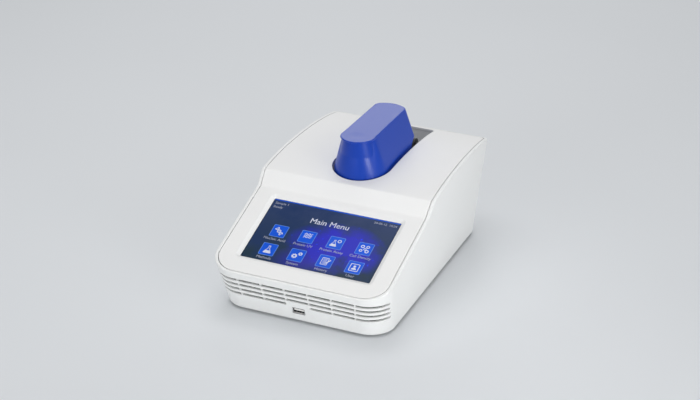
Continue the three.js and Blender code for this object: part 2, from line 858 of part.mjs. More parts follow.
function displayScrews() {
  const headZ = frameTop - frameThickness - screwHeadHeight;
  const places = ["lower_left", "upper_left", "lower_right", "upper_right"];
  return frameTabs.map(([x, y], place) => piece(
    `display_screw_${places[place]}`, onSlope(screwShape(x, y, headZ, moduleThickness)), paint.steel));
}

// Boards; a chip is given by its place and size as shares of the board, and by its height

const boardZ = plateTop + standoffHeight;
const mainBoard = {
  left: -mainBoardHalfWidth,
  right: mainBoardHalfWidth,
  front: mainBoardFront,
  back: mainBoardFront + mainBoardDepth,
};
const powerBoard = {
  left: powerBoardRight - powerBoardWidth,
  right: powerBoardRight,
  front: powerBoardBack - powerBoardDepth,
  back: powerBoardBack,
};

function boardCorners(board) {
  return [board.left + standoffInset, board.right - standoffInset].flatMap(
    (x) => [board.front + standoffInset, board.back - standoffInset].map((y) => [x, y]));
}

function boardPiece(name, board, chips) {
  const top = boardZ + boardThickness;
  const sheet = box(board.left, board.right, board.front, board.back, boardZ, top);
  const width = board.right - board.left;
  const depth = board.back - board.front;
  const parts = chips.map(([xShare, yShare, widthShare, depthShare, height]) => {
    const x = board.left + xShare * width;
    const y = board.front + yShare * depth;
    return box(x, x + widthShare * width, y, y + depthShare * depth, top - skim, top + height);
  });
  return piece(name, joined([sheet, ...parts]), paint.board);
}

const mainChipShares = [
  [0.4, 0.45, 0.14, 0.22, chipHeight],
  [0.62, 0.4, 0.1, 0.3, chipHeight],
  [0.12, 0.55, 0.16, 0.14, chipHeight],
  [0.82, 0.7, 0.08, 0.2, 3 * chipHeight],
  [0.12, 0.3, 0.2, 0.08, 2 * chipHeight],
];
const powerChipShares = [
  [0.12, 0.12, 0.4, 0.24, 5 * chipHeight],
  [0.62, 0.14, 0.2, 0.14, 6 * chipHeight],
  [0.2, 0.5, 0.3, 0.14, chipHeight],
];

// Sockets, each standing on its board

const boardTop = boardZ + boardThickness;
const usbHeight = boardTop + seatGap + usbTall / 2;
const usbDeviceHeight = boardTop + seatGap + usbDeviceTall / 2;
const inletHeight = boardTop + seatGap + inletTall / 2;

// A block given by its middle and size across and up, and by its two ends
function socketBlock(x, z, width, tall, y0, y1) {
  return box(x - width / 2, x + width / 2, y0, y1, z - tall / 2, z + tall / 2);
}

function frontUsb() {
  const face = frontY(usbHeight);
  const back = face + usbDeep;
  const inset = 2 * (usbSkin + seatGap);
  const room = socketBlock(0, usbHeight, usbWidth - 2 * usbSkin, usbTall - 2 * usbSkin, face - overrun,
    back - usbSkin);
  const shell = socketBlock(0, usbHeight, usbWidth, usbTall, face, back).subtract(room);
  const end = back - usbSkin - seatGap;
  const tongue = socketBlock(0, usbHeight + usbTongueThickness / 2, usbTongueWidth, usbTongueThickness,
    face + usbTongueSetback, end);
  const block = socketBlock(0, usbHeight, usbWidth - inset, usbTall - inset, back - usbDeep / 4, end);
  return [piece("front_usb_shell", shell, paint.steel),
    piece("front_usb_tongue", tongue.add(block), paint.socketWhite)];
}

function rearUsb() {
  const x = usbDeviceX;
  const z = usbDeviceHeight;
  const face = backY(z);
  const front = face - usbDeviceDeep;
  const inset = 2 * (usbSkin + seatGap);
  const room = socketBlock(x, z, usbDeviceWidth - 2 * usbSkin, usbDeviceTall - 2 * usbSkin, front + usbSkin,
    face + overrun);
  const shell = socketBlock(x, z, usbDeviceWidth, usbDeviceTall, front, face).subtract(room);
  const start = front + usbSkin + seatGap;
  const block = socketBlock(x, z, usbDeviceWidth - inset, usbDeviceTall - inset, start,
    front + usbDeviceDeep / 4);
  const tongue = socketBlock(x, z, usbDeviceTongueWidth, usbDeviceTongueTall, start,
    face - usbTongueSetback);
  return [piece("rear_usb_shell", shell, paint.steel),
    piece("rear_usb_tongue", block.add(tongue), paint.socketWhite)];
}

function alongY(radius, x, z, y0, y1) {
  const rod = new THREE.CylinderGeometry(radius, radius, y1 - y0, smallRoundSegments);
  return solidOf(rod.translate(x, (y0 + y1) / 2, z));
}

function powerInlet() {
  const face = backY(inletHeight);
  const front = face - inletDeep;
  const body = socketBlock(inletX, inletHeight, inletWidth, inletTall, front, face);
  const bore = alongY(inletBoreRadius, inletX, inletHeight, front + wall, face + overrun);
  const pin = alongY(inletPinRadius, inletX, inletHeight, front + wall + skim, face - usbTongueSetback);
  return [piece("power_inlet_body", body.subtract(bore), paint.blackPlastic),
    piece("power_inlet_pin", pin, paint.brass)];
}

// Rocker switch, standing square to the leaning back wall

const switchFrame = new THREE.Matrix4().makeRotationX(-backLean)
  .setPosition(switchX, backY(switchHeight), switchHeight);
const switchRoomX = switchWidth / 2 - switchFlange;
const switchRoomZ = switchTall / 2 - switchFlange;
const trunnionReach = switchRoomX + switchFlange / 2;

function switchFrameSolid() {
  const body = socketBlock(0, 0, switchWidth, switchTall, -switchDeep, switchFlangeThickness);
  const flange = socketBlock(0, 0, switchWidth + 2 * switchFlange, switchTall + 2 * switchFlange, seatGap,
    switchFlangeThickness);
  const room = socketBlock(0, 0, 2 * switchRoomX, 2 * switchRoomZ, -switchDeep / 2, overrun);
  const reach = trunnionReach + seatGap;
  const bearing = crossbar(
    trunnionRadius + seatGap, -rockerPivotDepth, 0, -reach, reach, smallRoundSegments);
  return cutFrom(body.add(flange), [room, bearing]);
}

// The key has two flat halves that meet in a shallow valley over the pivot
function rockerSolid() {
  const reach = trunnionReach;
  const trunnions = crossbar(trunnionRadius, -rockerPivotDepth, 0, -reach, reach, smallRoundSegments);
  const keyHalf = switchRoomX - rockerPlay;
  const drum = crossbar(rockerDrumRadius, -rockerPivotDepth, 0, -keyHalf, keyHalf);
  const peak = switchFlangeThickness + rockerReach * Math.tan(rockerAngle);
  const key = sidePrism([
    new THREE.Vector2(switchFlangeThickness / 2, -rockerReach),
    new THREE.Vector2(peak, -rockerReach),
    new THREE.Vector2(switchFlangeThickness, 0),
    new THREE.Vector2(peak, rockerReach),
    new THREE.Vector2(switchFlangeThickness / 2, rockerReach),
    new THREE.Vector2(-rockerPivotDepth, rockerDrumRadius),
    new THREE.Vector2(-rockerPivotDepth, -rockerDrumRadius),
  ], -keyHalf, keyHalf);
  const rest = new THREE.Matrix4().makeTranslation(0, -rockerPivotDepth, 0)
    .multiply(new THREE.Matrix4().makeRotationX(-rockerAngle))
    .multiply(new THREE.Matrix4().makeTranslation(0, rockerPivotDepth, 0));
  return joined([drum, key, trunnions]).transform(rest.elements);
}

function powerSwitch() {
  return [
    piece("switch_frame", switchFrameSolid().transform(switchFrame.elements), paint.blackPlastic),
    piece("switch_rocker", rockerSolid().transform(switchFrame.elements), paint.blackPlastic),
  ];
}

// Well under the arm

function cuvetteHole(z0, z1) {
  const half = cuvetteSize / 2;
  return box(-half, half, cuvetteY - half, cuvetteY + half, z0, z1);
}

function cuvetteBlockRoom(play, z0, z1) {
  const half = cuvetteBlock / 2 + play;
  return box(-half, half, cuvetteY - half, cuvetteY + half, z0, z1);
}

function wellOpenings() {
  const under = wellFloorHeight - overrun;
  const deckUnderside = deckHeight - deckThickness;
  return [
    upright(pedestalFlangeRadius + seatGap, 0, pedestalY, deckUnderside + deckLip, deckHeight + overrun),
    upright(pedestalStemRadius + seatGap, 0, pedestalY, under, deckHeight + overrun),
    cuvetteHole(deckUnderside - overrun, deckHeight + overrun),
    cuvetteBlockRoom(seatGap, under, deckUnderside - overrun / 4),
    upright(guideRadius, 0, pedestalY, under, wellFloorHeight + overrun / 4),
  ];
}

function armWell() {
  const top = coverThickness + seatGap;
  const outer = slotPrism(wellWall, wellFloorHeight - wellWall, wallTop).intersect(below(top));
  const flange = slotPrism(wellWall + wellFlangeWidth, deckHeight, wallTop)
    .intersect(band(top, top + wellFlangeThickness))
    .intersect(wallsPrism(flangeWalls, shellBottom, wallTop));
  const room = slotPrism(0, wellFloorHeight, wallTop + overrun);
  const deck = slotPrism(wellWall / 2, deckHeight - deckThickness, deckHeight)
    .intersect(box(-sideways, sideways, -bodyDepth, deckEnd, 0, wallTop));
  const riser = slotPrism(wellWall / 2, wellFloorHeight - wellWall, deckHeight)
    .intersect(box(-sideways, sideways, deckEnd - deckThickness, deckEnd, 0, wallTop));
  const postTop = armBottom - padHeight - seatGap;
  const posts = [-padX, padX].map((x) => upright(restPostRadius, x, padY, deckHeight - skim, postTop));
  const shell = outer.add(flange).subtract(room);
  return piece("arm_well", cutFrom(joined([shell, deck, riser, ...posts]), wellOpenings()), paint.wellGrey);
}

// Arm, as rings from the bottom up

function armHalfWidth(z) {
  const share = THREE.MathUtils.clamp((z - armFlareEnd) / (armTopRearHeight - armFlareEnd), 0, 1);
  return THREE.MathUtils.lerp(armBaseHalfWidth, armTopHalfWidth, share);
}

function armRearY(z) {
  const share = (z - armRearLowHeight) / (armTopRearHeight - armRearLowHeight);
  return THREE.MathUtils.lerp(armRearLow, armRearTop, share);
}

// The front is round, the sides are straight and the rear bulges between two rounded corners
function armOutline(z, grow) {
  const half = armHalfWidth(z) + grow;
  const centre = armFront + armHalfWidth(z);
  const rear = armRearY(z) + grow;
  const bulgeAt = (x) => rear + armRearBulge * (1 - (x / half) ** 2);
  const cornerX = half - armRearCorner;
  const rightCorner = new THREE.QuadraticBezierCurve(
    new THREE.Vector2(half, rear - armRearCorner),
    new THREE.Vector2(half, rear),
    new THREE.Vector2(cornerX, bulgeAt(cornerX))).getPoints(smallCornerSteps);
  const leftCorner = rightCorner.map((point) => new THREE.Vector2(-point.x, point.y)).reverse();
  const rearArc = Array.from({ length: armRearSteps - 1 }, (_, step) => {
    const x = cornerX * (1 - 2 * (step + 1) / armRearSteps);
    return new THREE.Vector2(x, bulgeAt(x));
  });
  const front = arcPoints(0, centre, half, Math.PI, armFrontSteps, Math.PI);
  return [...front, ...rightCorner, ...rearArc, ...leftCorner];
}

function armLoft(grow) {
  const heights = [armBottom - overrun, armFlareEnd];
  for (let ring = 1; ring <= armRings; ring += 1) {
    heights.push(THREE.MathUtils.lerp(armFlareEnd, armTopRearHeight, ring / armRings));
  }
  heights.push(armTopRearHeight + overrun);
  return loft(heights.map((z) => atHeight(armOutline(z, grow), z)));
}

// Side view of the arm: flat under the front, undercut above the hinge, nearly level on top
function armSide(drop, extra) {
  const frontEnd = armFront - overrun;
  const rearEnd = armRearLow + armRearBulge + overrun;
  const undercut = new THREE.QuadraticBezierCurve(
    new THREE.Vector2(armUndercutFront, armBottom - extra),
    new THREE.Vector2(armUndercutCornerY, armUndercutCornerHeight - extra),
    new THREE.Vector2(armRearLow, armRearLowHeight - extra)).getPoints(undercutSteps);
  const topSlope = (armTopRearHeight - armTopFrontHeight) / (armRearTop - armFront);
  return sidePrism([
    new THREE.Vector2(frontEnd, armBottom - extra), ...undercut,
    new THREE.Vector2(rearEnd, armRearLowHeight - extra + (rearEnd - armRearLow) / 4),
    new THREE.Vector2(rearEnd, armTopRearHeight - drop + topSlope * (rearEnd - armRearTop)),
    new THREE.Vector2(frontEnd, armTopFrontHeight - drop + topSlope * (frontEnd - armFront)),
  ], -sideways, sideways);
}

const armScrews = [-1, 1].map((side) => [side * armScrewX, armScrewY]);

// A thin slab on top whose round front stands ahead of the arm as a lip
function armLip() {
  const centre = armFront + armTopHalfWidth - lipReach;
  const outline = [
    ...arcPoints(0, centre, armTopHalfWidth, Math.PI, armFrontSteps, Math.PI),
    new THREE.Vector2(armTopHalfWidth, centre + armTopHalfWidth),
    new THREE.Vector2(-armTopHalfWidth, centre + armTopHalfWidth),
  ];
  return planPrism(outline, armBottom, bodyDepth).intersect(armSide(0, 0))
    .subtract(armSide(lipThickness, overrun));
}

// The bowl of a shallow thumb mark in the top
function armDimple() {
  const floor = armTopFrontHeight - dimpleDepth;
  const bowl = Array.from({ length: dimpleSteps + 1 }, (_, step) => {
    const share = step / dimpleSteps;
    return [dimpleRadius * share, floor + dimpleDepth * share ** 2];
  });
  const y = armFront + dimpleSetback;
  return turned([...bowl, [dimpleRadius, floor + overrun], [0, floor + overrun]], 0, y);
}

function armCover() {
  const outside = armLoft(0).intersect(armSide(0, 0));
  const inside = armLoft(-armWall).intersect(armSide(armWall, overrun));
  const frameUpper = armBottom + armFrameThickness;
  const bosses = armScrews.map(([x, y]) => upright(
    armBossRadius, x, y, frameUpper + seatGap, armTopFrontHeight - armWall / 2, smallRoundSegments));
  const pilots = armScrews.map(([x, y]) => screwHole(x, y, armBottom, frameUpper + 2 * screwLength));
  const rind = outside.add(armLip()).subtract(inside);
  const solid = cutFrom(rind.add(joined(bosses).intersect(outside)), [...pilots, armDimple()]);
  return piece("arm_cover", solid, paint.armBlue);
}

function hingeEar(side) {
  const x0 = side * earCentre - earThickness / 2;
  const x1 = side * earCentre + earThickness / 2;
  const eye = crossbar(earRadius, hingeY, hingeHeight, x0, x1);
  const top = armBottom + armFrameThickness;
  const rootY = armFrameEnd - 4 * armFrameThickness;
  const bendY = armFrameEnd + armFrameThickness;
  const link = sidePrism([
    new THREE.Vector2(rootY, armBottom),
    new THREE.Vector2(bendY, armBottom),
    new THREE.Vector2(hingeY, hingeHeight - earRadius),
    new THREE.Vector2(hingeY, hingeHeight + earRadius),
    new THREE.Vector2(bendY, top + armFrameThickness),
    new THREE.Vector2(rootY, top),
  ], x0, x1);
  return eye.add(link);
}

function lampPosts(z0) {
  const x = lampHalfWidth - lampPostRadius;
  const y = lampHalfDepth - lampPostRadius;
  const places = [[-x, -y], [x, -y], [-x, y], [x, y]];
  const z1 = lampZ + lampCollarHeight - seatGap;
  return places.map(([px, py]) => upright(lampPostRadius, px, pedestalY + py, z0, z1, screwSegments));
}

function armFrameCuts(top) {
  const low = armBottom - overrun;
  const high = top + overrun;
  return [
    upright(pedestalRadius + seatGap, 0, pedestalY, low, high),
    upright(pedestalHeadRadius + seatGap, 0, pedestalY, top, high),
    crossbar(hingePinRadius + hingePlay, hingeY, hingeHeight, -sideways, sideways),
    ...armScrews.flatMap(([x, y]) => [screwHole(x, y, low, high), screwHeadRoom(x, y, armBottom)]),
  ];
}

function armFrame() {
  const top = armBottom + armFrameThickness;
  const plate = planPrism(armOutline(armBottom, -armWall - seatGap), armBottom, top)
    .intersect(box(-sideways, sideways, -bodyDepth, armFrameEnd, 0, bodyDepth));
  const collarTop = top + pedestalHeadHeight + pedestalTravelRoom;
  const collar = upright(pedestalHeadRadius + wall, 0, pedestalY, top - skim, collarTop);
  const solid = joined([plate, collar, ...lampPosts(top - skim), hingeEar(-1), hingeEar(1)]);
  return piece("arm_frame", cutFrom(solid, armFrameCuts(top)), paint.blackPlastic);
}

function armScrewPieces() {
  return armScrews.map(([x, y], place) => piece(
    `arm_screw_${place === 0 ? "left" : "right"}`, screwShape(x, y, armBottom), paint.steel));
}

function upperPedestal() {
  const top = armBottom + armFrameThickness;
  const shape = turned([
    [0, pedestalTipHeight], [pedestalTipRadius, pedestalTipHeight],
    [pedestalTipRadius, pedestalTipHeight + pedestalTipLand], [pedestalRadius, armBottom - seatGap],
    [pedestalRadius, top + seatGap], [pedestalHeadRadius, top + seatGap],
    [pedestalHeadRadius, top + pedestalHeadHeight], [0, top + pedestalHeadHeight],
  ], 0, pedestalY);
  return piece("upper_pedestal", shape, paint.steel);
}

const lampZ = armBottom + armFrameThickness + pedestalHeadHeight + pedestalTravelRoom + seatGap;

function lampModule() {
  const z0 = lampZ + lampCollarHeight;
  const solid = box(-lampHalfWidth, lampHalfWidth, pedestalY - lampHalfDepth, pedestalY + lampHalfDepth,
    z0, THREE.MathUtils.lerp(z0, armCeiling, lampHeightShare));
  return piece("lamp_module", solid, paint.blackPlastic);
}

function lampCollar() {
  return piece("lamp_lens_collar", upright(lampCollarRadius, 0, pedestalY, lampZ, lampZ + lampCollarHeight),
    paint.aluminium);
}

function pathActuator() {
  const z0 = armBottom + armFrameThickness;
  const z1 = THREE.MathUtils.lerp(z0, armCeiling, actuatorHeightShare);
  return piece("path_actuator", upright(actuatorRadius, 0, actuatorY, z0, z1), paint.steel);
}

function armPads() {
  const low = armBottom - padHeight;
  return [-padX, padX].map((x) => piece(
    `arm_pad_${x < 0 ? "left" : "right"}`,
    upright(padRadius, x, padY, low, armBottom, smallRoundSegments),
    paint.rubber));
}

// Hinge

function hingeBracket() {
  const floor = wellFloorHeight;
  const base = box(-bracketBaseHalfWidth, bracketBaseHalfWidth, hingeY - bracketBaseHalfDepth,
    hingeY + bracketBaseHalfDepth, floor, floor + bracketBaseThickness);
  const cheeks = [-1, 1].map((side) => {
    const x0 = side * cheekCentre - cheekThickness / 2;
    const x1 = side * cheekCentre + cheekThickness / 2;
    return crossbar(cheekRadius, hingeY, hingeHeight, x0, x1).add(sidePrism([
      new THREE.Vector2(hingeY - bracketBaseHalfDepth, floor),
      new THREE.Vector2(hingeY + bracketBaseHalfDepth, floor),
      new THREE.Vector2(hingeY + cheekRadius, hingeHeight),
      new THREE.Vector2(hingeY - cheekRadius, hingeHeight),
    ], x0, x1));
  });
  const bore = crossbar(hingePinRadius + seatGap, hingeY, hingeHeight, -sideways, sideways);
  return piece("hinge_bracket", joined([base, ...cheeks]).subtract(bore), paint.steel);
}

function hingePin() {
  const pin = crossbar(hingePinRadius, hingeY, hingeHeight, -hingePinHalfLength, hingePinHalfLength);
  return piece("hinge_pin", pin, paint.steel);
}

function hingeBarrels() {
  return [-1, 1].map((side) => {
    const inner = side * barrelGap;
    const outer = side * (cheekCentre - cheekThickness / 2 - seatGap);
    const x0 = Math.min(inner, outer);
    const x1 = Math.max(inner, outer);
    const bore = crossbar(hingePinRadius + seatGap, hingeY, hingeHeight, x0 - overrun, x1 + overrun);
    return piece(`hinge_brake_${side < 0 ? "left" : "right"}`,
      crossbar(barrelRadius, hingeY, hingeHeight, x0, x1).subtract(bore), paint.blackPlastic);
  });
}

// Measuring deck

function pedestalGuide() {
  const low = deckHeight;
  const shape = turned([
    [pedestalRadius + seatGap, low], [guideRadius, low], [guideRadius, low + guideHeight / 2],
    [guideRadius - guideHeight / 2, low + guideHeight], [pedestalRadius + seatGap, low + guideHeight],
    [pedestalRadius + seatGap, low],
  ], 0, pedestalY);
  return piece("pedestal_guide", shape, paint.steel);
}

function lowerPedestal() {
  const top = pedestalTipHeight - samplePathGap;
  const flangeLow = deckHeight - deckThickness + deckLip;
  const shape = turned([
    [0, deckHeight - lowerPedestalDepth], [pedestalStemRadius, deckHeight - lowerPedestalDepth],
    [pedestalStemRadius, flangeLow], [pedestalFlangeRadius, flangeLow],
    [pedestalFlangeRadius, deckHeight - seatGap], [pedestalRadius, deckHeight - seatGap],
    [pedestalRadius, deckHeight + guideHeight], [pedestalTipRadius, top - pedestalTipLand],
    [pedestalTipRadius, top], [0, top],
  ], 0, pedestalY);
  return piece("lower_pedestal", shape, paint.steel);
}

function cuvetteHolder() {
  const top = deckHeight - deckThickness - seatGap;
  const floor = deckHeight - cuvetteDepth;
  const block = cuvetteBlockRoom(0, floor - wall, top);
  return piece("cuvette_holder", block.subtract(cuvetteHole(floor, top + overrun)), paint.blackPlastic);
}

// Optical bench on the base plate

const benchZ = plateTop;
const benchTop = benchZ + benchHeight;

function benchOutline(inset) {
  const corners = [
    new THREE.Vector2(benchLeft + inset, benchFront + inset),
    new THREE.Vector2(benchRight - benchCut, benchFront + inset),
    new THREE.Vector2(benchRight - inset, benchFront + benchCut),
    new THREE.Vector2(benchRight - inset, benchBack - inset),
    new THREE.Vector2(benchLeft + benchCut, benchBack - inset),
    new THREE.Vector2(benchLeft + inset, benchBack - benchCut),
  ];
  const radius = benchRadius - inset / 2;
  return roundedOutline(corners, corners.map(() => radius), smallCornerSteps);
}

function spectrometerBody() {
  const body = planPrism(benchOutline(0), benchZ, benchTop);
  const room = planPrism(benchOutline(benchWall), benchZ + benchWall, benchTop + overrun);
  return piece("spectrometer_body", body.subtract(room), paint.aluminium);
}

function spectrometerLid() {
  const lid = planPrism(benchOutline(0), benchTop + seatGap, benchTop + seatGap + benchLidThickness);
  const port = upright(fibreRadius + 2 * seatGap, fibreEnd.x, fibreEnd.y, 0, bodyDepth, smallRoundSegments);
  return piece("spectrometer_lid", lid.subtract(port), paint.aluminium);
}

const fibreEnd = new THREE.Vector2(benchRight - fibreInset - benchCut, benchFront + fibreInset);

function fibreLink() {
  const top = deckHeight - lowerPedestalDepth - seatGap;
  const bottom = benchTop - benchWall;
  const middle = (top + bottom) / 2;
  const path = new THREE.CubicBezierCurve3(
    new THREE.Vector3(0, pedestalY, top),
    new THREE.Vector3(0, pedestalY, middle - fibreBend / 2),
    new THREE.Vector3(fibreEnd.x, fibreEnd.y, middle + fibreBend / 2),
    new THREE.Vector3(fibreEnd.x, fibreEnd.y, bottom));
  const section = new THREE.Shape();
  section.absarc(0, 0, fibreRadius, 0, 2 * Math.PI, false);
  const geometry = new THREE.ExtrudeGeometry(section, {
    steps: fibreSteps, extrudePath: path, curveSegments: fibreSegments, bevelEnabled: false });
  return piece("optical_fibre", solidOf(geometry), paint.fibre);
}

function detectorBoard() {
  const x = (benchLeft + benchRight) / 2;
  const y = benchBack + seatGap;
  const z = benchZ;
  const sheet = box(x - detectorBoardWidth / 2, x + detectorBoardWidth / 2, y, y + boardThickness,
    z, z + detectorBoardHeight);
  return piece("detector_board", sheet, paint.board);
}

// Assembly

const housing = new THREE.Group();
housing.add(bodyShell(), topCover(), basePlate(), ...footPlaces.map(foot), ...baseScrews());

const display = new THREE.Group();
display.add(touchGlass(), displayModule(), displayFrame(), ...displayScrews());

const electronics = new THREE.Group();
electronics.add(
  boardPiece("main_board", mainBoard, mainChipShares),
  boardPiece("power_board", powerBoard, powerChipShares),
  ...frontUsb(),
  ...rearUsb(),
  ...powerInlet(),
  ...powerSwitch(),
);

const deck = new THREE.Group();
deck.add(
  armWell(),
  hingeBracket(),
  hingePin(),
  ...hingeBarrels(),
  pedestalGuide(),
  lowerPedestal(),
  cuvetteHolder(),
);

const bench = new THREE.Group();
bench.add(spectrometerBody(), spectrometerLid(), detectorBoard(), fibreLink());

const arm = new THREE.Group();
arm.add(
  armCover(),
  armFrame(),
  ...armScrewPieces(),
  upperPedestal(),
  lampModule(),
  lampCollar(),
  pathActuator(),
  ...armPads(),
);

const spectrophotometer = new THREE.Group();
spectrophotometer.add(housing, display, electronics, deck, bench, arm);

export default spectrophotometer;
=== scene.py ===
"""Looks of a benchtop microvolume spectrophotometer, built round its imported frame.

Lengths in the helpers are millimetres in the frame's axes; meshes are written in metres.
"""
import json
import math

import bmesh
import bpy
import numpy as np
from mathutils import Matrix, Vector
from mathutils.geometry import delaunay_2d_cdt


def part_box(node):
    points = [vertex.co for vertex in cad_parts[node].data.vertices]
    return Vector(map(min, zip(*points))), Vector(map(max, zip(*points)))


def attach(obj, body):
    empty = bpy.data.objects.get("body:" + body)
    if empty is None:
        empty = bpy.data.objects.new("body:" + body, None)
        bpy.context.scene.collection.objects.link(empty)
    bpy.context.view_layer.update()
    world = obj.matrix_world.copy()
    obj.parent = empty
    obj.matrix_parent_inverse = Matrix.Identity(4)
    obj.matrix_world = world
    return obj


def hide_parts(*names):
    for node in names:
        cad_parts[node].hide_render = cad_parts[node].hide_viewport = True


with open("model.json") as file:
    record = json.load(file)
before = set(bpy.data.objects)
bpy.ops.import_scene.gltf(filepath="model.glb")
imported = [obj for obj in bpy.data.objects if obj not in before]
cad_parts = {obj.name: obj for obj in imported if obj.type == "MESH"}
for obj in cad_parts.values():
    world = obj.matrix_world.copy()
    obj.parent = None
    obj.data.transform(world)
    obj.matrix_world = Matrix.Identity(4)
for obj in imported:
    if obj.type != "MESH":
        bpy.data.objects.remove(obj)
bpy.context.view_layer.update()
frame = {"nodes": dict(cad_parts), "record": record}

MM = 0.001
DEG = math.pi / 180


def placed(name, data):
    """A new object in the scene."""
    obj = bpy.data.objects.new(name, data)
    bpy.context.scene.collection.objects.link(obj)
    return obj


def unit(v):
    return v / np.maximum(np.linalg.norm(v, axis=-1, keepdims=True), 1e-12)


def way(turn):
    return np.array([math.cos(turn), math.sin(turn)])


# ---- Camera ----

CAMERA_PLACE = (779.29, -1738.30, 972.46)
CAMERA_YAW, CAMERA_PITCH, CAMERA_ROLL = 24.323 * DEG, 24.940 * DEG, 0.463 * DEG
CAMERA_LENS = 96.90


def make_camera():
    data = bpy.data.cameras.new("camera")
    data.lens = CAMERA_LENS
    data.sensor_width = 36
    data.clip_end = 50
    camera = placed("camera", data)
    turn = Matrix.Rotation(CAMERA_YAW, 4, "Z") @ Matrix.Rotation(math.pi / 2 - CAMERA_PITCH, 4, "X")
    place = Matrix.Translation(Vector(CAMERA_PLACE) * MM)
    camera.matrix_world = place @ turn @ Matrix.Rotation(CAMERA_ROLL, 4, "Z")
    bpy.context.scene.camera = camera


make_camera()

# ---- Dimensions, as in the part's source ----

SEAM_FRONT_Y, SEAM_FRONT_Z = -155.5, 54.75
SEAM_BACK_Y, SEAM_HALF_FRONT = 155.5, 104.0
CROWN_END_Z = 119.4
CROWN_RISE, CROWN_RISE_LENGTH = (46.4, 11.5), 47.8
CROWN_FALL_LENGTH, CROWN_FALL = 48.4, 9.6
SLOPE_LENGTH, SLOPE_ANGLE = 127.2, 20.75 * DEG
STEP_LENGTH, STEP_ANGLE = 20.4, 48.6 * DEG
END_RIM, SIDE_RIM, SEAM_GAP = 2.7, 4.15, 0.34
RIM_FRONT_Z = SEAM_FRONT_Z - END_RIM * math.tan(SLOPE_ANGLE)
RIM_BACK_Z = CROWN_END_Z - END_RIM * CROWN_FALL / CROWN_FALL_LENGTH
BODY_DEPTH = 316.4
FRONT_LEAN, BACK_LEAN, SIDE_LEAN = 19.85 * DEG, 4.83 * DEG, 5.48 * DEG
PLAN_TAPER = 2.25 * DEG
SHELL_BOTTOM, WALL = 3.0, 3.0
COVER_DEPTH, SEAT_DEPTH, LEDGE_DEPTH, LEDGE_WIDTH = 2.6, 2.9, 2.5, 1.5
SLOT_HALF, SLOT_FRONT, SLOT_BACK, SLOT_REAR_RADIUS = 34.4, -14.2, 149.0, 6.0
WINDOW_WIDTH, WINDOW_HEIGHT, WINDOW_START = 152.5, 91.4, 24.0
WINDOW_MIDDLE = WINDOW_START + WINDOW_HEIGHT / 2
VENT_TOP, VENT_PITCH, VENT_HEIGHT, VENT_RADIUS = 43.0, 6.47, 3.0, 0.45
VENT_BAR_PITCH, VENT_BAR, VENT_REACH = 27.6, 0.9, 80 * DEG
VENT_ROWS, VENT_BARS, SOCKET_ROW, SOCKET_SLOT = 4, 6, 3, 3
BACK_VENT_TOP, BACK_VENT_ROWS = 92, 5

# ---- Meshes ----


class Skin:
    """A mesh under construction: points with their own normals, in millimetres, and painted faces."""

    def __init__(self):
        self.points, self.normals, self.faces, self.paints = [], [], [], []

    def ring(self, points, normals):
        start = len(self.points)
        self.points.extend(np.asarray(points, float))
        self.normals.extend(np.asarray(normals, float))
        return list(range(start, len(self.points)))

    def strip(self, low, high, paint=0, flip=False):
        """Quads between two rings; they face the way along the rings crossed with that from low to high."""
        if flip:
            low, high = high, low
        self.faces.extend(zip(low, low[1:] + low[:1], high[1:] + high[:1], high))
        self.paints += [paint] * len(low)

    def grow(self, last, points, normals, paint=0, flip=False):
        """A new ring with a strip from the last one."""
        ring = self.ring(points, normals)
        self.strip(last, ring, paint, flip)
        return ring

    def patch(self, loops, rings, inner, lift, flip=False, squeeze=(1, 1)):
        """Fills the first loop, less the others, through loose inner points that lift puts in place."""
        known = [i for ring in rings for i in ring]
        inner = keep_clear(np.asarray(inner, float).reshape(-1, 2), loops)
        if len(inner):
            points, normals = lift(inner)
            known += self.ring(points, -normals if flip else normals)
        outlines, start = [], 0
        for loop in loops:
            outlines.append(list(range(start, start + len(loop))))
            start += len(loop)
        flat = [Vector(p) for p in np.vstack([*loops, inner]) * squeeze]
        found = delaunay_2d_cdt(flat, [], outlines, 0, 1e-7)
        for face, owners in zip(found[2], found[5]):
            corners = [known[found[3][v][0]] for v in face]
            if list(owners) == [0] and len(set(corners)) > 2:
                self.faces.append(tuple(reversed(corners)) if flip else tuple(corners))
                self.paints.append(0)

    def made(self, name, paints, smooth=True):
        mesh = bpy.data.meshes.new(name)
        mesh.from_pydata([tuple(p * MM) for p in self.points], [], self.faces)
        for paint in paints:
            mesh.materials.append(PAINTS[paint])
        mesh.polygons.foreach_set("material_index", self.paints)
        if smooth:
            mesh.polygons.foreach_set("use_smooth", [True] * len(self.faces))
            mesh.normals_split_custom_set_from_vertices([Vector(n).normalized() for n in self.normals])
        return placed(name, mesh)


def inside(points, loop):
    """Which points are inside a closed loop."""
    a = np.asarray(loop, float)
    b = np.roll(a, -1, axis=0)
    x, y = points[:, :1], points[:, 1:]
    crosses = (a[:, 1] > y) != (b[:, 1] > y)
    with np.errstate(divide="ignore", invalid="ignore"):
        at = a[:, 0] + (y - a[:, 1]) * (b[:, 0] - a[:, 0]) / (b[:, 1] - a[:, 1])
    return (crosses & (x < at)).sum(axis=1) % 2 == 1


def gap_to(points, loop):
    """Distance of each point to the nearest side of a closed loop."""
    a = np.asarray(loop, float)
    d = np.roll(a, -1, axis=0) - a
    length = np.maximum((d ** 2).sum(axis=1), 1e-12)
    best = np.full(len(points), 1e9)
    for start in range(0, len(points), 400):
        p = points[start:start + 400, None, :] - a
        t = np.clip((p * d).sum(axis=2) / length, 0, 1)
        best[start:start + 400] = np.sqrt((((p - t[..., None] * d)) ** 2).sum(axis=2)).min(axis=1)
    return best


CLEARANCE = 0.3


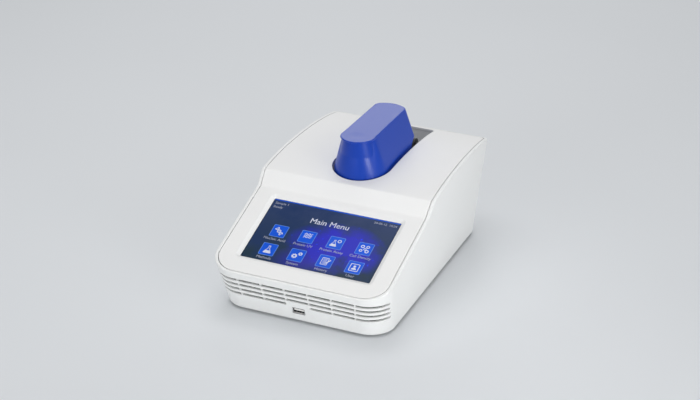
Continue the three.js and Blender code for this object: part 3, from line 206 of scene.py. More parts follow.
def keep_clear(points, loops):
    """The points that are inside the first loop, outside the others and well off them all."""
    keep = inside(points, loops[0]) & (gap_to(points, loops[0]) > CLEARANCE)
    for loop in loops[1:]:
        keep &= ~inside(points, loop) & (gap_to(points, loop) > CLEARANCE)
    return points[keep]


def rounded_loop(half_x, half_y, radius, centre, steps, cuts=(1, 1)):
    """Points and outward normals of a rounded rectangle; cuts divide its long and its short sides."""
    points, normals = [], []
    middles = [np.array([centre[0] + sx * (half_x - radius), centre[1] + sy * (half_y - radius)])
               for sx, sy in ((-1, -1), (1, -1), (1, 1), (-1, 1))]
    for place, middle in enumerate(middles):
        for step in range(steps + 1):
            normals.append(way(math.pi * (1 + place / 2) + math.pi / 2 * step / steps))
            points.append(middle + radius * normals[-1])
        last, after = points[-1], middles[(place + 1) % 4] + radius * normals[-1]
        parts = cuts[place % 2]
        for cut in range(1, parts):
            points.append(last + (after - last) * (cut / parts))
            normals.append(normals[-1])
    return np.array(points), np.array(normals)


# ---- The top line ----

CONCAVE_REACH, CONVEX_REACH = 2.0, 1.2
FINE_STEP, EVENED_STEPS = 0.05, 13
STEP_ROWS, OVERRUN, OVERRUN_ROWS = (4, 8, 12, 15, 17), 30, (1, 3, 10, 20)


def bezier(points, t):
    t = np.asarray(t, float)[:, None]
    points = [np.asarray(p, float) for p in points]
    while len(points) > 1:
        points = [a + (b - a) * t for a, b in zip(points, points[1:])]
    return points[0]


def top_samples():
    """The top line as points: slope, hollow, step, edge and crown, with an overrun at each end."""
    start = np.array([SEAM_FRONT_Y, SEAM_FRONT_Z])
    along, up = way(SLOPE_ANGLE), way(STEP_ANGLE)
    slope_end = start + SLOPE_LENGTH * along
    step_end = slope_end + STEP_LENGTH * up
    crown_end = np.array([SEAM_BACK_Y, CROWN_END_Z])
    crown = [step_end, step_end + CROWN_RISE, crown_end + (-CROWN_FALL_LENGTH, CROWN_FALL), crown_end]
    share = CONVEX_REACH / (3 * CROWN_RISE_LENGTH)
    fillet = np.linspace(0, 1, 9)
    return np.vstack([
        start + np.outer(np.linspace(-OVERRUN, SLOPE_LENGTH - CONCAVE_REACH - 0.5, 14), along),
        bezier([slope_end - CONCAVE_REACH * along, slope_end, slope_end + CONCAVE_REACH * up], fillet),
        slope_end + np.outer(STEP_ROWS, up),
        bezier([step_end - CONVEX_REACH * up, step_end, bezier(crown, [share])[0]], fillet),
        bezier(crown, np.linspace(share, 1, 56)[1:]),
        crown_end + np.outer(OVERRUN_ROWS, (1, -CROWN_FALL / CROWN_FALL_LENGTH)),
    ])


TOP = top_samples()
FINE_Y = np.arange(TOP[0, 0], TOP[-1, 0], FINE_STEP)


def smooth_slope():
    """The top line's slope over y, evened out over 0.65 mm."""
    slope = np.gradient(np.interp(FINE_Y, TOP[:, 0], TOP[:, 1]), FINE_Y)
    even = np.ones(EVENED_STEPS) / EVENED_STEPS
    return np.convolve(np.pad(slope, EVENED_STEPS // 2, mode="edge"), even, mode="valid")


FINE_SLOPE = smooth_slope()


def top_height(y):
    return np.interp(y, TOP[:, 0], TOP[:, 1])


def top_normal(y):
    slope = np.interp(y, FINE_Y, FINE_SLOPE)
    return unit(np.stack([np.zeros_like(slope), -slope, np.ones_like(slope)], axis=-1))


def on_top(flat, depth=0.0):
    """Lifts points of the plan onto the top surface, less a depth below it."""
    normal = top_normal(flat[:, 1])
    return np.column_stack([flat, top_height(flat[:, 1])]) - normal * depth, normal


# ---- The leaning walls ----


def front_y(z):
    return -BODY_DEPTH / 2 + (RIM_FRONT_Z - z) * math.tan(FRONT_LEAN)


def back_y(z):
    return BODY_DEPTH / 2 - (RIM_BACK_Z - z) * math.tan(BACK_LEAN)


def half_width(y, z):
    taper, lean = math.tan(PLAN_TAPER), math.tan(SIDE_LEAN)
    return SEAM_HALF_FRONT - (y - SEAM_FRONT_Y) * taper + (z - SEAM_FRONT_Z) * lean


FRONT_STEPS, REAR_STEPS = 24, 10
SIDE_START, SIDE_RUN, SIDE_FIRST, SIDE_LAST = -130, 281.5, -128, 150
SIDE_SHARES = [(y - SIDE_START) / SIDE_RUN for y in TOP[:, 0] if SIDE_FIRST < y < SIDE_LAST]
END_SHARES = list(np.linspace(0, 1, 13)[1:-1])
LEVELS = np.arange(1.0, 134.0)


def outline(z, side, end, front_radius, rear_radius):
    """The wall's plan at a height, as points and outward normals, from the middle of the left side."""
    front, back = front_y(z) + end, back_y(z) - end
    half_front, half_back = half_width(front, z) - side, half_width(back, z) - side
    corners = np.array([(-half_front, front), (half_front, front), (half_back, back), (-half_back, back)])
    arcs = []
    for i in range(4):
        radius, steps = (front_radius, FRONT_STEPS) if i < 2 else (rear_radius, REAR_STEPS)
        before, after = corners[i - 1] - corners[i], corners[(i + 1) % 4] - corners[i]
        before, after = unit(before), unit(after)
        half = math.acos(before @ after) / 2
        centre = corners[i] + unit(before + after) * radius / math.sin(half)
        x, y = corners[i] + before * radius / math.tan(half) - centre
        turns = [(math.pi - 2 * half) * s / steps for s in range(steps + 1)]
        spun = np.array([(x * math.cos(t) - y * math.sin(t), x * math.sin(t) + y * math.cos(t))
                         for t in turns])
        arcs.append((centre + spun, spun / radius))
    shares = [END_SHARES, SIDE_SHARES, END_SHARES, [1 - s for s in reversed(SIDE_SHARES)]]
    points, normals, first = [], [], 0
    for i, (arc_points, arc_normals) in enumerate(arcs):
        points.extend(arc_points)
        normals.extend(arc_normals)
        ahead = arcs[(i + 1) % 4][0][0]
        for share in shares[i]:
            if i == 3 and share < 0.5:
                first = len(points)
            points.append(arc_points[-1] * (1 - share) + ahead * share)
            normals.append(arc_normals[-1])
    return np.roll(points, -first, axis=0), np.roll(normals, -first, axis=0)


def crossing(levels, over):
    """The first entry over zero, the share of the way to it where zero lies, and the level there."""
    i = int(np.argmax(over > 0))
    share = over[i - 1] / (over[i - 1] - over[i])
    return i, share, levels[i - 1] + share * (levels[i] - levels[i - 1])


class Wall:
    """A table of a wall's outlines by height, read between its entries."""

    def __init__(self, side, end, front_radius, rear_radius):
        found = [outline(z, side, end, front_radius, rear_radius) for z in LEVELS]
        self.xy = np.array([f[0] for f in found])
        flat = np.array([f[1] for f in found])
        rate = np.gradient(self.xy, LEVELS, axis=0)
        self.normal = unit(np.dstack([flat, -(flat * rate).sum(axis=2)]))

    def edge(self, depth=0.0):
        """Where the wall meets the top surface, or a surface that deep below it, at each station."""
        points = []
        for s in range(self.xy.shape[1]):
            y = self.xy[:, s, 1]
            i, share, z = crossing(LEVELS, LEVELS - (top_height(y) - depth / top_normal(y)[:, 2]))
            points.append((*(self.xy[i - 1, s] * (1 - share) + self.xy[i, s] * share), z))
        return np.array(points)

    def at(self, station, z):
        """Points and normals at stations, which may be fractions, and heights."""
        count = self.xy.shape[1]
        station = np.asarray(station, float) % count
        low = np.floor(station).astype(int)
        share = (station - low)[:, None]
        low %= count
        high = (low + 1) % count
        row = np.clip(np.asarray(z, float) - LEVELS[0], 0, len(LEVELS) - 1.001)
        i = np.floor(row).astype(int)
        f = (row - i)[:, None]

        def read(table):
            near = table[i, low] * (1 - share) + table[i, high] * share
            far = table[i + 1, low] * (1 - share) + table[i + 1, high] * share
            return near * (1 - f) + far * f
        return np.column_stack([read(self.xy), z]), unit(read(self.normal))


FRONT_RADIUS, REAR_RADIUS = 28.0, 7.0
SEAM_RADIUS, SEAM_REAR_RADIUS = 25.3, 5.0
outer_wall = Wall(0, 0, FRONT_RADIUS, REAR_RADIUS)
inner_wall = Wall(WALL, WALL, FRONT_RADIUS - WALL, REAR_RADIUS - WALL)
seat_wall = Wall(SIDE_RIM - SEAM_GAP, END_RIM - SEAM_GAP, SEAM_RADIUS + SEAM_GAP, SEAM_REAR_RADIUS + SEAM_GAP)
cover_wall = Wall(SIDE_RIM + SEAM_GAP, END_RIM + SEAM_GAP, SEAM_RADIUS, SEAM_REAR_RADIUS)
ledge_wall = Wall(SIDE_RIM + LEDGE_WIDTH, END_RIM + LEDGE_WIDTH, SEAM_RADIUS - LEDGE_WIDTH, SEAM_REAR_RADIUS)
STATIONS = outer_wall.xy.shape[1]


def fold(skin, ring, corner, towards, last_normal, reach, steps, flip=False):
    """Rings of a small rounded edge from one direction into another, through a corner point."""
    first_points = np.array([skin.points[i] for i in ring])
    first_normal = np.array([skin.normals[i] for i in ring])
    last_points = corner + towards * reach
    for step in range(1, steps + 1):
        t = step / steps
        p = first_points * (1 - t) ** 2 + corner * 2 * t * (1 - t) + last_points * t ** 2
        ring = skin.grow(ring, p, unit(first_normal * (1 - t) + last_normal * t), 0, flip)
    return ring


def collar(skin, flat, ways, lift, profile, paint=0, flip=False):
    """Rings round a hole or along an edge. Ways point into the material; the profile lists how far
    along them, how deep and at what turn each ring is."""
    rings = []
    for grow, depth, turn in profile:
        points, normal = lift(flat + ways * grow, depth)
        near, _ = lift(flat + ways * (grow + 0.05), depth)
        away = unit(near - points)
        rings.append(skin.ring(points, unit(normal * math.cos(turn * DEG) - away * math.sin(turn * DEG))))
        if len(rings) > 1:
            skin.strip(rings[-2], rings[-1], paint, flip)
    return rings


def round_edge(radius, depth, steps):
    """The profile of a rounded edge that turns down into a wall of that depth."""
    turns = [90 * s / steps for s in range(steps + 1)]
    rings = [(radius * (1 - math.sin(t * DEG)), radius * (1 - math.cos(t * DEG)), t) for t in turns]
    return rings + [(0, depth, 90)]


# ---- Materials ----


def linear(colour):
    """A colour as seen, 0 to 255, as the linear one that a shader takes."""
    parts = [c / 255 for c in colour]
    return tuple(c / 12.92 if c <= 0.04045 else ((c + 0.055) / 1.055) ** 2.4 for c in parts) + (1,)


def dimmed(colour, share):
    return tuple(c * share for c in colour[:3]) + (1,)


PAINTS = {}


class Nodes:
    """A node tree to add to."""

    def __init__(self, tree):
        self.tree = tree

    def node(self, kind, inputs, **settings):
        node = self.tree.nodes.new("ShaderNode" + kind)
        for key, value in settings.items():
            setattr(node, key, value)
        for key, value in inputs.items():
            if isinstance(value, bpy.types.NodeSocket):
                self.tree.links.new(value, node.inputs[key])
            else:
                node.inputs[key].default_value = value
        return node


class Paint(Nodes):
    """A node material, kept under its name, with helpers that add and join nodes."""

    def __init__(self, name):
        material = PAINTS[name] = bpy.data.materials.new(name)
        material.use_nodes = True
        super().__init__(material.node_tree)
        self.shader = self.tree.nodes["Principled BSDF"]

    def join(self, source, key):
        self.tree.links.new(source, self.shader.inputs[key])

    def put(self, **values):
        """Sets inputs of the shader, written with _ for a space."""
        for key, value in values.items():
            self.shader.inputs[key.replace("_", " ")].default_value = value

    def place(self):
        return self.node("TexCoord", {}).outputs["Object"]

    def noise(self, scale, detail=2.0, roughness=0.5, vector=None):
        return self.node("TexNoise", {
            "Scale": scale, "Detail": detail, "Roughness": roughness,
            "Vector": vector if vector is not None else self.place()}).outputs["Fac"]

    def spread(self, value, low, high, to_low, to_high):
        return self.node("MapRange", {
            "Value": value, "From Min": low, "From Max": high,
            "To Min": to_low, "To Max": to_high}).outputs[0]

    def mix(self, share, a, b):
        """Two colours mixed; of a Mix node, 0, 6 and 7 are the factor and the colours, and 2 the result."""
        return self.node("Mix", {0: share, 6: a, 7: b}, data_type="RGBA").outputs[2]

    def blend(self, value, low, high, a, b):
        return self.mix(self.spread(value, low, high, 0, 1), a, b)

    def rough(self, value, smoothest, roughest):
        """Spreads the roughness over a value's usual range."""
        self.join(self.spread(value, 0.3, 0.7, smoothest, roughest), "Roughness")

    def product(self, a, b):
        return self.node("Math", {0: a, 1: b}, operation="MULTIPLY").outputs[0]

    def vector(self, operation, a, b=(0, 0, 0)):
        return self.node("VectorMath", {0: a, 1: b}, operation=operation).outputs

    def bricks(self, scale, gap, first, second, mortar):
        """Bricks with mortar in a gap between them, in three greys."""
        greys = {"Color1": first, "Color2": second, "Mortar": mortar}
        return self.node("TexBrick", {
            "Vector": self.place(), "Scale": scale, "Mortar Size": gap,
            **{key: (grey, grey, grey, 1) for key, grey in greys.items()}}).outputs

    def bump(self, height, strength, distance):
        node = self.node("Bump", {"Height": height, "Strength": strength, "Distance": distance})
        self.join(node.outputs["Normal"], "Normal")


def plastic(name, colour, roughness, grain, spot=0.012, gloss=0.5):
    """Moulded plastic: a fine spark-eroded grain, faint cloudiness and a little spread in its gloss."""
    paint = Paint(name)
    base = linear(colour)
    paint.join(paint.blend(paint.noise(14, 3), 0.35, 0.65, dimmed(base, 1 - 6 * spot), base), "Base Color")
    paint.rough(paint.noise(320, 2), roughness * 0.96, roughness * 1.04)
    paint.bump(paint.noise(5200, 2, 0.6), grain, 0.00004)
    paint.put(Specular_IOR_Level=gloss)


def metal(name, colour, roughness, stretch=(1, 1, 60)):
    """Brushed metal: streaks along one axis in colour, gloss and height."""
    paint = Paint(name)
    scale = paint.node("Mapping", {"Vector": paint.place(), "Scale": stretch})
    streak = paint.noise(60, 4, 0.6, scale.outputs["Vector"])
    base = linear(colour)
    paint.join(paint.blend(streak, 0.3, 0.7, dimmed(base, 0.75), base), "Base Color")
    paint.rough(streak, roughness - 0.07, roughness + 0.1)
    paint.bump(streak, 0.25, 0.00003)
    paint.put(Metallic=1)


def rubber(name, colour):
    """Rubber with a pale dust on it."""
    paint = Paint(name)
    base = linear(colour)
    light = tuple(c * 1.7 + 0.004 for c in base[:3]) + (1,)
    dust = paint.noise(90, 5, 0.7)
    paint.join(paint.blend(dust, 0.45, 0.75, base, light), "Base Color")
    paint.rough(dust, 0.7, 0.9)
    paint.bump(paint.noise(2600, 2), 0.5, 0.00006)


def circuit(name):
    """Solder mask over fine copper runs."""
    paint = Paint(name)
    lines = paint.bricks(240, 0.035, 0, 0.25, 1)["Fac"]
    paint.join(paint.mix(lines, linear((22, 88, 50)), linear((44, 128, 78))), "Base Color")
    paint.rough(paint.noise(400), 0.3, 0.45)
    paint.bump(lines, 0.4, 0.00004)


plastic("housing_white", (235, 236, 235), 0.44, 0.3, 0.002, 0.4)
plastic("cover_white", (237, 237, 236), 0.48, 0.3, 0.002, 0.3)
plastic("arm_blue", (6, 60, 170), 0.31, 0.2, 0.004, 0.33)
plastic("well_grey", (222, 223, 223), 0.55, 0.4)
plastic("black_plastic", (26, 26, 28), 0.5, 0.6)
plastic("socket_white", (240, 240, 238), 0.4, 0.2)
plastic("tin_plate", (190, 187, 185), 0.4, 0.2)
plastic("fibre_jacket", (42, 42, 46), 0.45, 0.2)
metal("dark_steel", (70, 70, 72), 0.4)
metal("steel", (196, 198, 200), 0.28)
metal("aluminium", (176, 180, 184), 0.4, (1, 1, 1))
metal("contact_brass", (206, 170, 98), 0.25)
rubber("rubber", (34, 34, 35))
circuit("circuit_board")

for part in frame["record"]["subparts"]:
    slot = "dark_steel" if part["node"] == "hinge_pin" else part["material_slot"]
    if slot in PAINTS:
        materials = frame["nodes"][part["node"]].data.materials
        materials.clear()
        materials.append(PAINTS[slot])

# ---- Lower housing ----

RIM_REACH, LIP_REACH, SOLE_REACH, HOLE_REACH = 1.5, 0.35, 0.5, 0.35
WALL_ROWS = np.concatenate([np.arange(6.5, 54, VENT_PITCH / 2), np.arange(58, 130, 6)])
FRONT_OPENING, SWITCH_OPENING = (7.6, 4.0, 0.8), (6.9, 9.9, 0.5)
SWITCH_X, SWITCH_Z, SOCKET_PLAY, SOCKET_RADIUS = -60, 30, 0.4, 0.8


def wall_lift(flat, depth=0.0):
    """Puts points given by arc length and height on the wall, or a depth into it."""
    station = np.interp(flat[:, 0], ARC, np.arange(STATIONS + 1))
    outside, normal = outer_wall.at(station, flat[:, 1])
    within, _ = inner_wall.at(station, flat[:, 1])
    share = depth / WALL
    return outside * (1 - share) + within * share, normal


course, _ = outer_wall.at(np.arange(STATIONS + 1), np.full(STATIONS + 1, VENT_TOP))
ARC = np.concatenate([[0], np.cumsum(np.linalg.norm(np.diff(course, axis=0), axis=1))])
ARC_FRONT, ARC_BACK = (ARC[s] for s in range(STATIONS) if abs(course[s, 0]) < 0.01)


def vent(u0, u1, z, pieces):
    """A vent slot as a loop with outward normals, divided along its length."""
    return rounded_loop((u1 - u0) / 2, VENT_HEIGHT / 2, VENT_RADIUS, ((u0 + u1) / 2, z), 3, (pieces, 1))


def middle_and_half(node):
    """The middle and the half sizes of a piece's box."""
    low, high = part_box(node)
    return [(a + b) / 2 / MM for a, b in zip(low, high)], [(b - a) / 2 / MM for a, b in zip(low, high)]


def wall_holes():
    """The vents of the front and the back, then the openings of the sockets and the switch."""
    holes = []
    for row in range(VENT_ROWS):
        z = VENT_TOP - row * VENT_PITCH
        points, _ = outer_wall.at(np.arange(STATIONS), np.full(STATIONS, z))
        near = ARC[:-1][points[:, 1] < front_y(z) + FRONT_RADIUS * (1 - math.cos(VENT_REACH))]
        marks = [near[0]]
        for bar in range(VENT_BARS):
            x = ARC_FRONT + (bar - (VENT_BARS - 1) / 2) * VENT_BAR_PITCH
            marks += [x - VENT_BAR / 2, x + VENT_BAR / 2]
        marks.append(near[-1])
        for slot in range(VENT_BARS + 1):
            if (row, slot) != (SOCKET_ROW, SOCKET_SLOT):
                pieces = 24 if slot in (0, VENT_BARS) else 4
                holes.append(vent(marks[2 * slot], marks[2 * slot + 1], z, pieces))
    half = (VENT_BAR_PITCH - VENT_BAR) / 2
    for row in range(BACK_VENT_ROWS):
        for slot in (-1, 0, 1):
            u = ARC_BACK - slot * VENT_BAR_PITCH
            holes.append(vent(u - half, u + half, BACK_VENT_TOP - row * VENT_PITCH, 2))
    (_, _, z), _ = middle_and_half("front_usb_shell")
    holes.append(rounded_loop(*FRONT_OPENING, (ARC_FRONT, z), 4))
    for node in ("rear_usb_shell", "power_inlet_body"):
        (x, _, z), (half_x, _, half_z) = middle_and_half(node)
        half_x, half_z = half_x + SOCKET_PLAY, half_z + SOCKET_PLAY
        holes.append(rounded_loop(half_x, half_z, SOCKET_RADIUS, (ARC_BACK - x, z), 4))
    holes.append(rounded_loop(*SWITCH_OPENING, (ARC_BACK - SWITCH_X, SWITCH_Z), 4))
    return holes


def make_body():
    skin = Skin()
    edge, seam = outer_wall.edge(), seat_wall.edge()
    stations = np.arange(STATIONS)
    _, wall_normal = outer_wall.at(stations, edge[:, 2])
    below, _ = outer_wall.at(stations, edge[:, 2] - 5)
    inward = unit(seam - edge)
    flat_in = unit(inward * (1, 1, 0))
    drop = np.tile((0, 0, -1.0), (STATIONS, 1))
    # from the top of the wall over the rim, down to the cover's ledge and to the inside
    top = skin.ring(edge + unit(below - edge) * RIM_REACH, wall_normal)
    ring = fold(skin, top, edge, inward, top_normal(edge[:, 1]), RIM_REACH, 6)
    seam_normal = top_normal(seam[:, 1])
    ring = skin.grow(ring, seam - inward * LIP_REACH, seam_normal)
    ring = fold(skin, ring, seam, drop, flat_in, LIP_REACH, 3)
    ledge = SEAT_DEPTH + LEDGE_DEPTH
    for wall, depth, normals in ((seat_wall, SEAT_DEPTH, flat_in), (ledge_wall, SEAT_DEPTH, seam_normal),
                                 (ledge_wall, ledge, flat_in), (inner_wall, ledge, -wall_normal)):
        ring = skin.grow(ring, wall.edge(depth), normals)
    inner_top = ring
    # the lower edge
    low = np.full(STATIONS, SHELL_BOTTOM)
    outside, low_normal = outer_wall.at(stations, low + SOLE_REACH)
    bottom = skin.ring(outside, low_normal)
    corner, _ = outer_wall.at(stations, low)
    within, _ = inner_wall.at(stations, low)
    sole = fold(skin, bottom, corner, unit(within - corner), drop, SOLE_REACH, 3, True)
    inner_bottom = skin.grow(sole, within, -low_normal, flip=True)
    # the wall with its holes, in arc length and height
    there, back = list(range(STATIONS + 1)), list(range(STATIONS, -1, -1))
    loops, rings = [], []
    for height, low, high in (
            (SHELL_BOTTOM + SOLE_REACH, bottom, top), (SHELL_BOTTOM, inner_bottom, inner_top)):
        rings.append([[low[i % STATIONS] for i in there] + [high[i % STATIONS] for i in back]])
        loops.append([[(ARC[i], height) for i in there]
                      + [(ARC[i], skin.points[high[i % STATIONS]][2]) for i in back]])
    for flat, ways in wall_holes():
        made = collar(skin, flat, ways, wall_lift, round_edge(HOLE_REACH, WALL, 3))
        for side, (grow, ring) in enumerate(((HOLE_REACH, made[0]), (0, made[-1]))):
            loops[side].append(flat + ways * grow)
            rings[side].append(ring)
    inner = np.array([(ARC[s], z) for s in range(1, STATIONS) for z in WALL_ROWS])
    skin.patch(loops[0], rings[0], inner, wall_lift)
    skin.patch(loops[1], rings[1], inner[::2], lambda p: wall_lift(p, WALL), flip=True)
    shell = skin.made("housing", ["housing_white"])
    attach(shell, "unit")
    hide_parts("body_shell")


make_body()

# ---- Top cover ----

WINDOW_RADIUS, SLOT_REACH = 1.4, 0.5
COVER_COLUMNS, COVER_SQUEEZE = np.arange(-96, 97, 8), (0.3, 1)
WINDOW_PROFILE = [(5.3, 0, 0), (4.9, 0.03, 8), (4.4, 0.14, 18), (3.9, 0.4, 29.5), (0.5, 2.32, 29.5),
                  (0.2, 2.48, 45), (0.05, 2.6, 70), (0, 2.75, 90)]


def slope_lift(points, depth=0.0):
    """Points across and up the slope, a depth below its surface."""
    y = SEAM_FRONT_Y + points[:, 1] * math.cos(SLOPE_ANGLE) + depth * math.sin(SLOPE_ANGLE)
    z = SEAM_FRONT_Z + points[:, 1] * math.sin(SLOPE_ANGLE) - depth * math.cos(SLOPE_ANGLE)
    normal = np.tile((0, -math.sin(SLOPE_ANGLE), math.cos(SLOPE_ANGLE)), (len(points), 1))
    return np.column_stack([points[:, 0], y, z]), normal


def slot_loop():
    """The arm's slot in plan: a half circle in front, straight sides and small rear corners."""
    corner_x, corner_y = SLOT_HALF - SLOT_REAR_RADIUS, SLOT_BACK - SLOT_REAR_RADIUS
    rows = np.linspace(SLOT_FRONT + SLOT_HALF, corner_y, 38)[1:-1]
    arcs = (((0, SLOT_FRONT + SLOT_HALF), SLOT_HALF, math.pi, math.pi, 48, rows),
            ((corner_x, corner_y), SLOT_REAR_RADIUS, 0, math.pi / 2, 8, []),
            ((-corner_x, corner_y), SLOT_REAR_RADIUS, math.pi / 2, math.pi / 2, 8, rows[::-1]))
    points, normals = [], []
    for place, (centre, radius, start, sweep, steps, straight) in enumerate(arcs):
        for step in range(steps + 1):
            normals.append(way(start + sweep * step / steps))
            points.append(centre + radius * normals[-1])
        for row in straight:
            points.append((SLOT_HALF * (1 - place), row))
            normals.append((1 - place, 0))
    return np.array(points), np.array(normals)


def make_cover():
    skin = Skin()
    edge = cover_wall.edge()[:, :2]
    around = unit(np.roll(edge, -1, axis=0) - np.roll(edge, 1, axis=0))
    ways = np.column_stack([-around[:, 1], around[:, 0]])
    outer = collar(skin, edge, ways, on_top, round_edge(LIP_REACH, COVER_DEPTH, 3), flip=True)
    window, window_ways = rounded_loop(
        WINDOW_WIDTH / 2, WINDOW_HEIGHT / 2, WINDOW_RADIUS, (0, WINDOW_MIDDLE), 6, (10, 8))
    frames = collar(skin, window, window_ways, slope_lift, WINDOW_PROFILE)
    slot, slot_ways = slot_loop()
    slot_edge = round_edge(SLOT_REACH, COVER_DEPTH, 4)
    slots = collar(skin, slot, slot_ways, on_top, slot_edge[:-1])
    # the slot's wall below its rounded edge takes the well's grey: the well's lining carried up to the edge,
    # and partly a painted shade that darkens the slot's wall
    slots += collar(skin, slot, slot_ways, on_top, slot_edge[-2:], paint=1)

    def loops(lip, frame_reach, slot_reach):
        return [edge + ways * lip, slope_lift(window + window_ways * frame_reach)[0][:, :2],
                slot + slot_ways * slot_reach]
    inner = [(x, y) for y in TOP[:, 0] if SEAM_FRONT_Y < y < SEAM_BACK_Y for x in COVER_COLUMNS]
    skin.patch(loops(LIP_REACH, WINDOW_PROFILE[0][0], SLOT_REACH), [outer[0], frames[0], slots[0]],
               inner, on_top, squeeze=COVER_SQUEEZE)
    skin.patch(loops(0, 0, 0), [outer[-1], frames[-1], slots[-1]],
               inner[::2], lambda p: on_top(p, COVER_DEPTH), flip=True, squeeze=COVER_SQUEEZE)
    cover = skin.made("top_panel", ["cover_white", "well_grey"])
    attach(cover, "unit")
    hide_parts("top_cover")


make_cover()

# ---- Arm cover ----

ARM_FRONT, ARM_BOTTOM, ARM_FLARE_END = -12.2, 108.0, 118.0
ARM_BASE_HALF, ARM_TOP_HALF = 32.0, 18.6
ARM_TOP_FRONT_Z, ARM_TOP_REAR_Z = 162.2, 164.6
ARM_REAR_TOP, ARM_REAR_LOW, ARM_REAR_LOW_Z = 97.4, 102.6, 131.4
ARM_BULGE, ARM_CORNER = 7.0, 4.0
ARM_WALL, ARM_EDGE = 2.4, 0.9
UNDERCUT_Y, UNDERCUT_TURN = 80, (83, 126)
DIMPLE_Y, DIMPLE_HALF_X, DIMPLE_HALF_Y, DIMPLE_DEPTH = 4.6, 13.0, 10.5, 0.3
TOP_RISE = (ARM_TOP_REAR_Z - ARM_TOP_FRONT_Z) / (ARM_REAR_TOP - ARM_FRONT)
ARM_STEP = 0.5
ARM_Z = np.arange(100.0, 172.0, ARM_STEP)
UNDERCUT = np.vstack([
    (-60, ARM_BOTTOM),
    bezier([(UNDERCUT_Y, ARM_BOTTOM), UNDERCUT_TURN, (ARM_REAR_LOW, ARM_REAR_LOW_Z)], np.linspace(0, 1, 30)),
    (ARM_REAR_LOW + 60, ARM_REAR_LOW_Z + 15)])
LIP_SHAPE = ([0, 1.6, 1.9, 2.1, 2.4, 2.8, 3.5, 5, 8, 12, 17, 22, 27, 32, 40, 54],
             [0.7, 0.6, 0.2, -1.0, -2.2, -2.8, -3.2, -3.4, -3.4, -3.3, -2.8, -2.2, -1.6, -1.1, -0.5, -0.1])
LIP_DEPTHS = [1.1] + LIP_SHAPE[0][1:13]
LIP_START, LIP_FADE = 14 * DEG, 34 * DEG


def arm_outline(z, grow=0.0):
    """The arm's plan at a height, as points, from the left rear of its round front."""
    share = min(max((z - ARM_FLARE_END) / (ARM_TOP_REAR_Z - ARM_FLARE_END), 0), 1)
    full = ARM_BASE_HALF + (ARM_TOP_HALF - ARM_BASE_HALF) * share
    half = full + grow
    share = (z - ARM_REAR_LOW_Z) / (ARM_TOP_REAR_Z - ARM_REAR_LOW_Z)
    rear = ARM_REAR_LOW + (ARM_REAR_TOP - ARM_REAR_LOW) * share + grow
    centre = ARM_FRONT + full
    front = [(0, centre) + half * way(math.pi * (1 + s / 48)) for s in range(49)]
    corner_x = half - ARM_CORNER

    def bulge(x):
        return x, rear + ARM_BULGE * (1 - (x / half) ** 2)
    side = [(half, centre + (rear - ARM_CORNER - centre) * s / 20) for s in range(1, 20)]
    corner = bezier([(half, rear - ARM_CORNER), (half, rear), bulge(corner_x)], np.linspace(0, 1, 9)).tolist()
    arc = [bulge(corner_x * (1 - 2 * s / 20)) for s in range(1, 20)]
    return np.array(front + side + corner + arc + [(-x, y) for x, y in reversed(side + corner)])


def arm_low(y):
    return np.interp(y, UNDERCUT[:, 0], UNDERCUT[:, 1])


def arm_top(y):
    return ARM_TOP_FRONT_Z + TOP_RISE * (y - ARM_FRONT)


def meet(table, surface):
    """The height at which each station of a loft meets a surface given over y."""
    return np.array([crossing(ARM_Z, ARM_Z - surface(table[:, s, 1]))[2] for s in range(table.shape[1])])


def loft_at(table, z):
    row = (z - ARM_Z[0]) / ARM_STEP
    i = np.floor(row).astype(int)
    f = (row - i)[:, None]
    s = np.arange(table.shape[1])
    return np.column_stack([table[i, s] * (1 - f) + table[i + 1, s] * f, z])


def ahead(points):
    """The way from each point's last neighbour to its next."""
    return np.roll(points, -1, axis=0) - np.roll(points, 1, axis=0)


def loft_normal(table, z):
    here = loft_at(table, z)
    return unit(np.cross(ahead(here), loft_at(table, z + 0.6) - here))


def lip_reach(points, depth):
    """How far the front stands out at a depth under the top edge: a lip, then a hollow below it."""
    angle = np.arctan2(-(points[:, 1] - (ARM_FRONT + ARM_TOP_HALF)), np.abs(points[:, 0]))
    facing = np.clip((angle + LIP_START) / LIP_FADE, 0, 1)
    return facing * facing * (3 - 2 * facing) * np.interp(depth, *LIP_SHAPE)


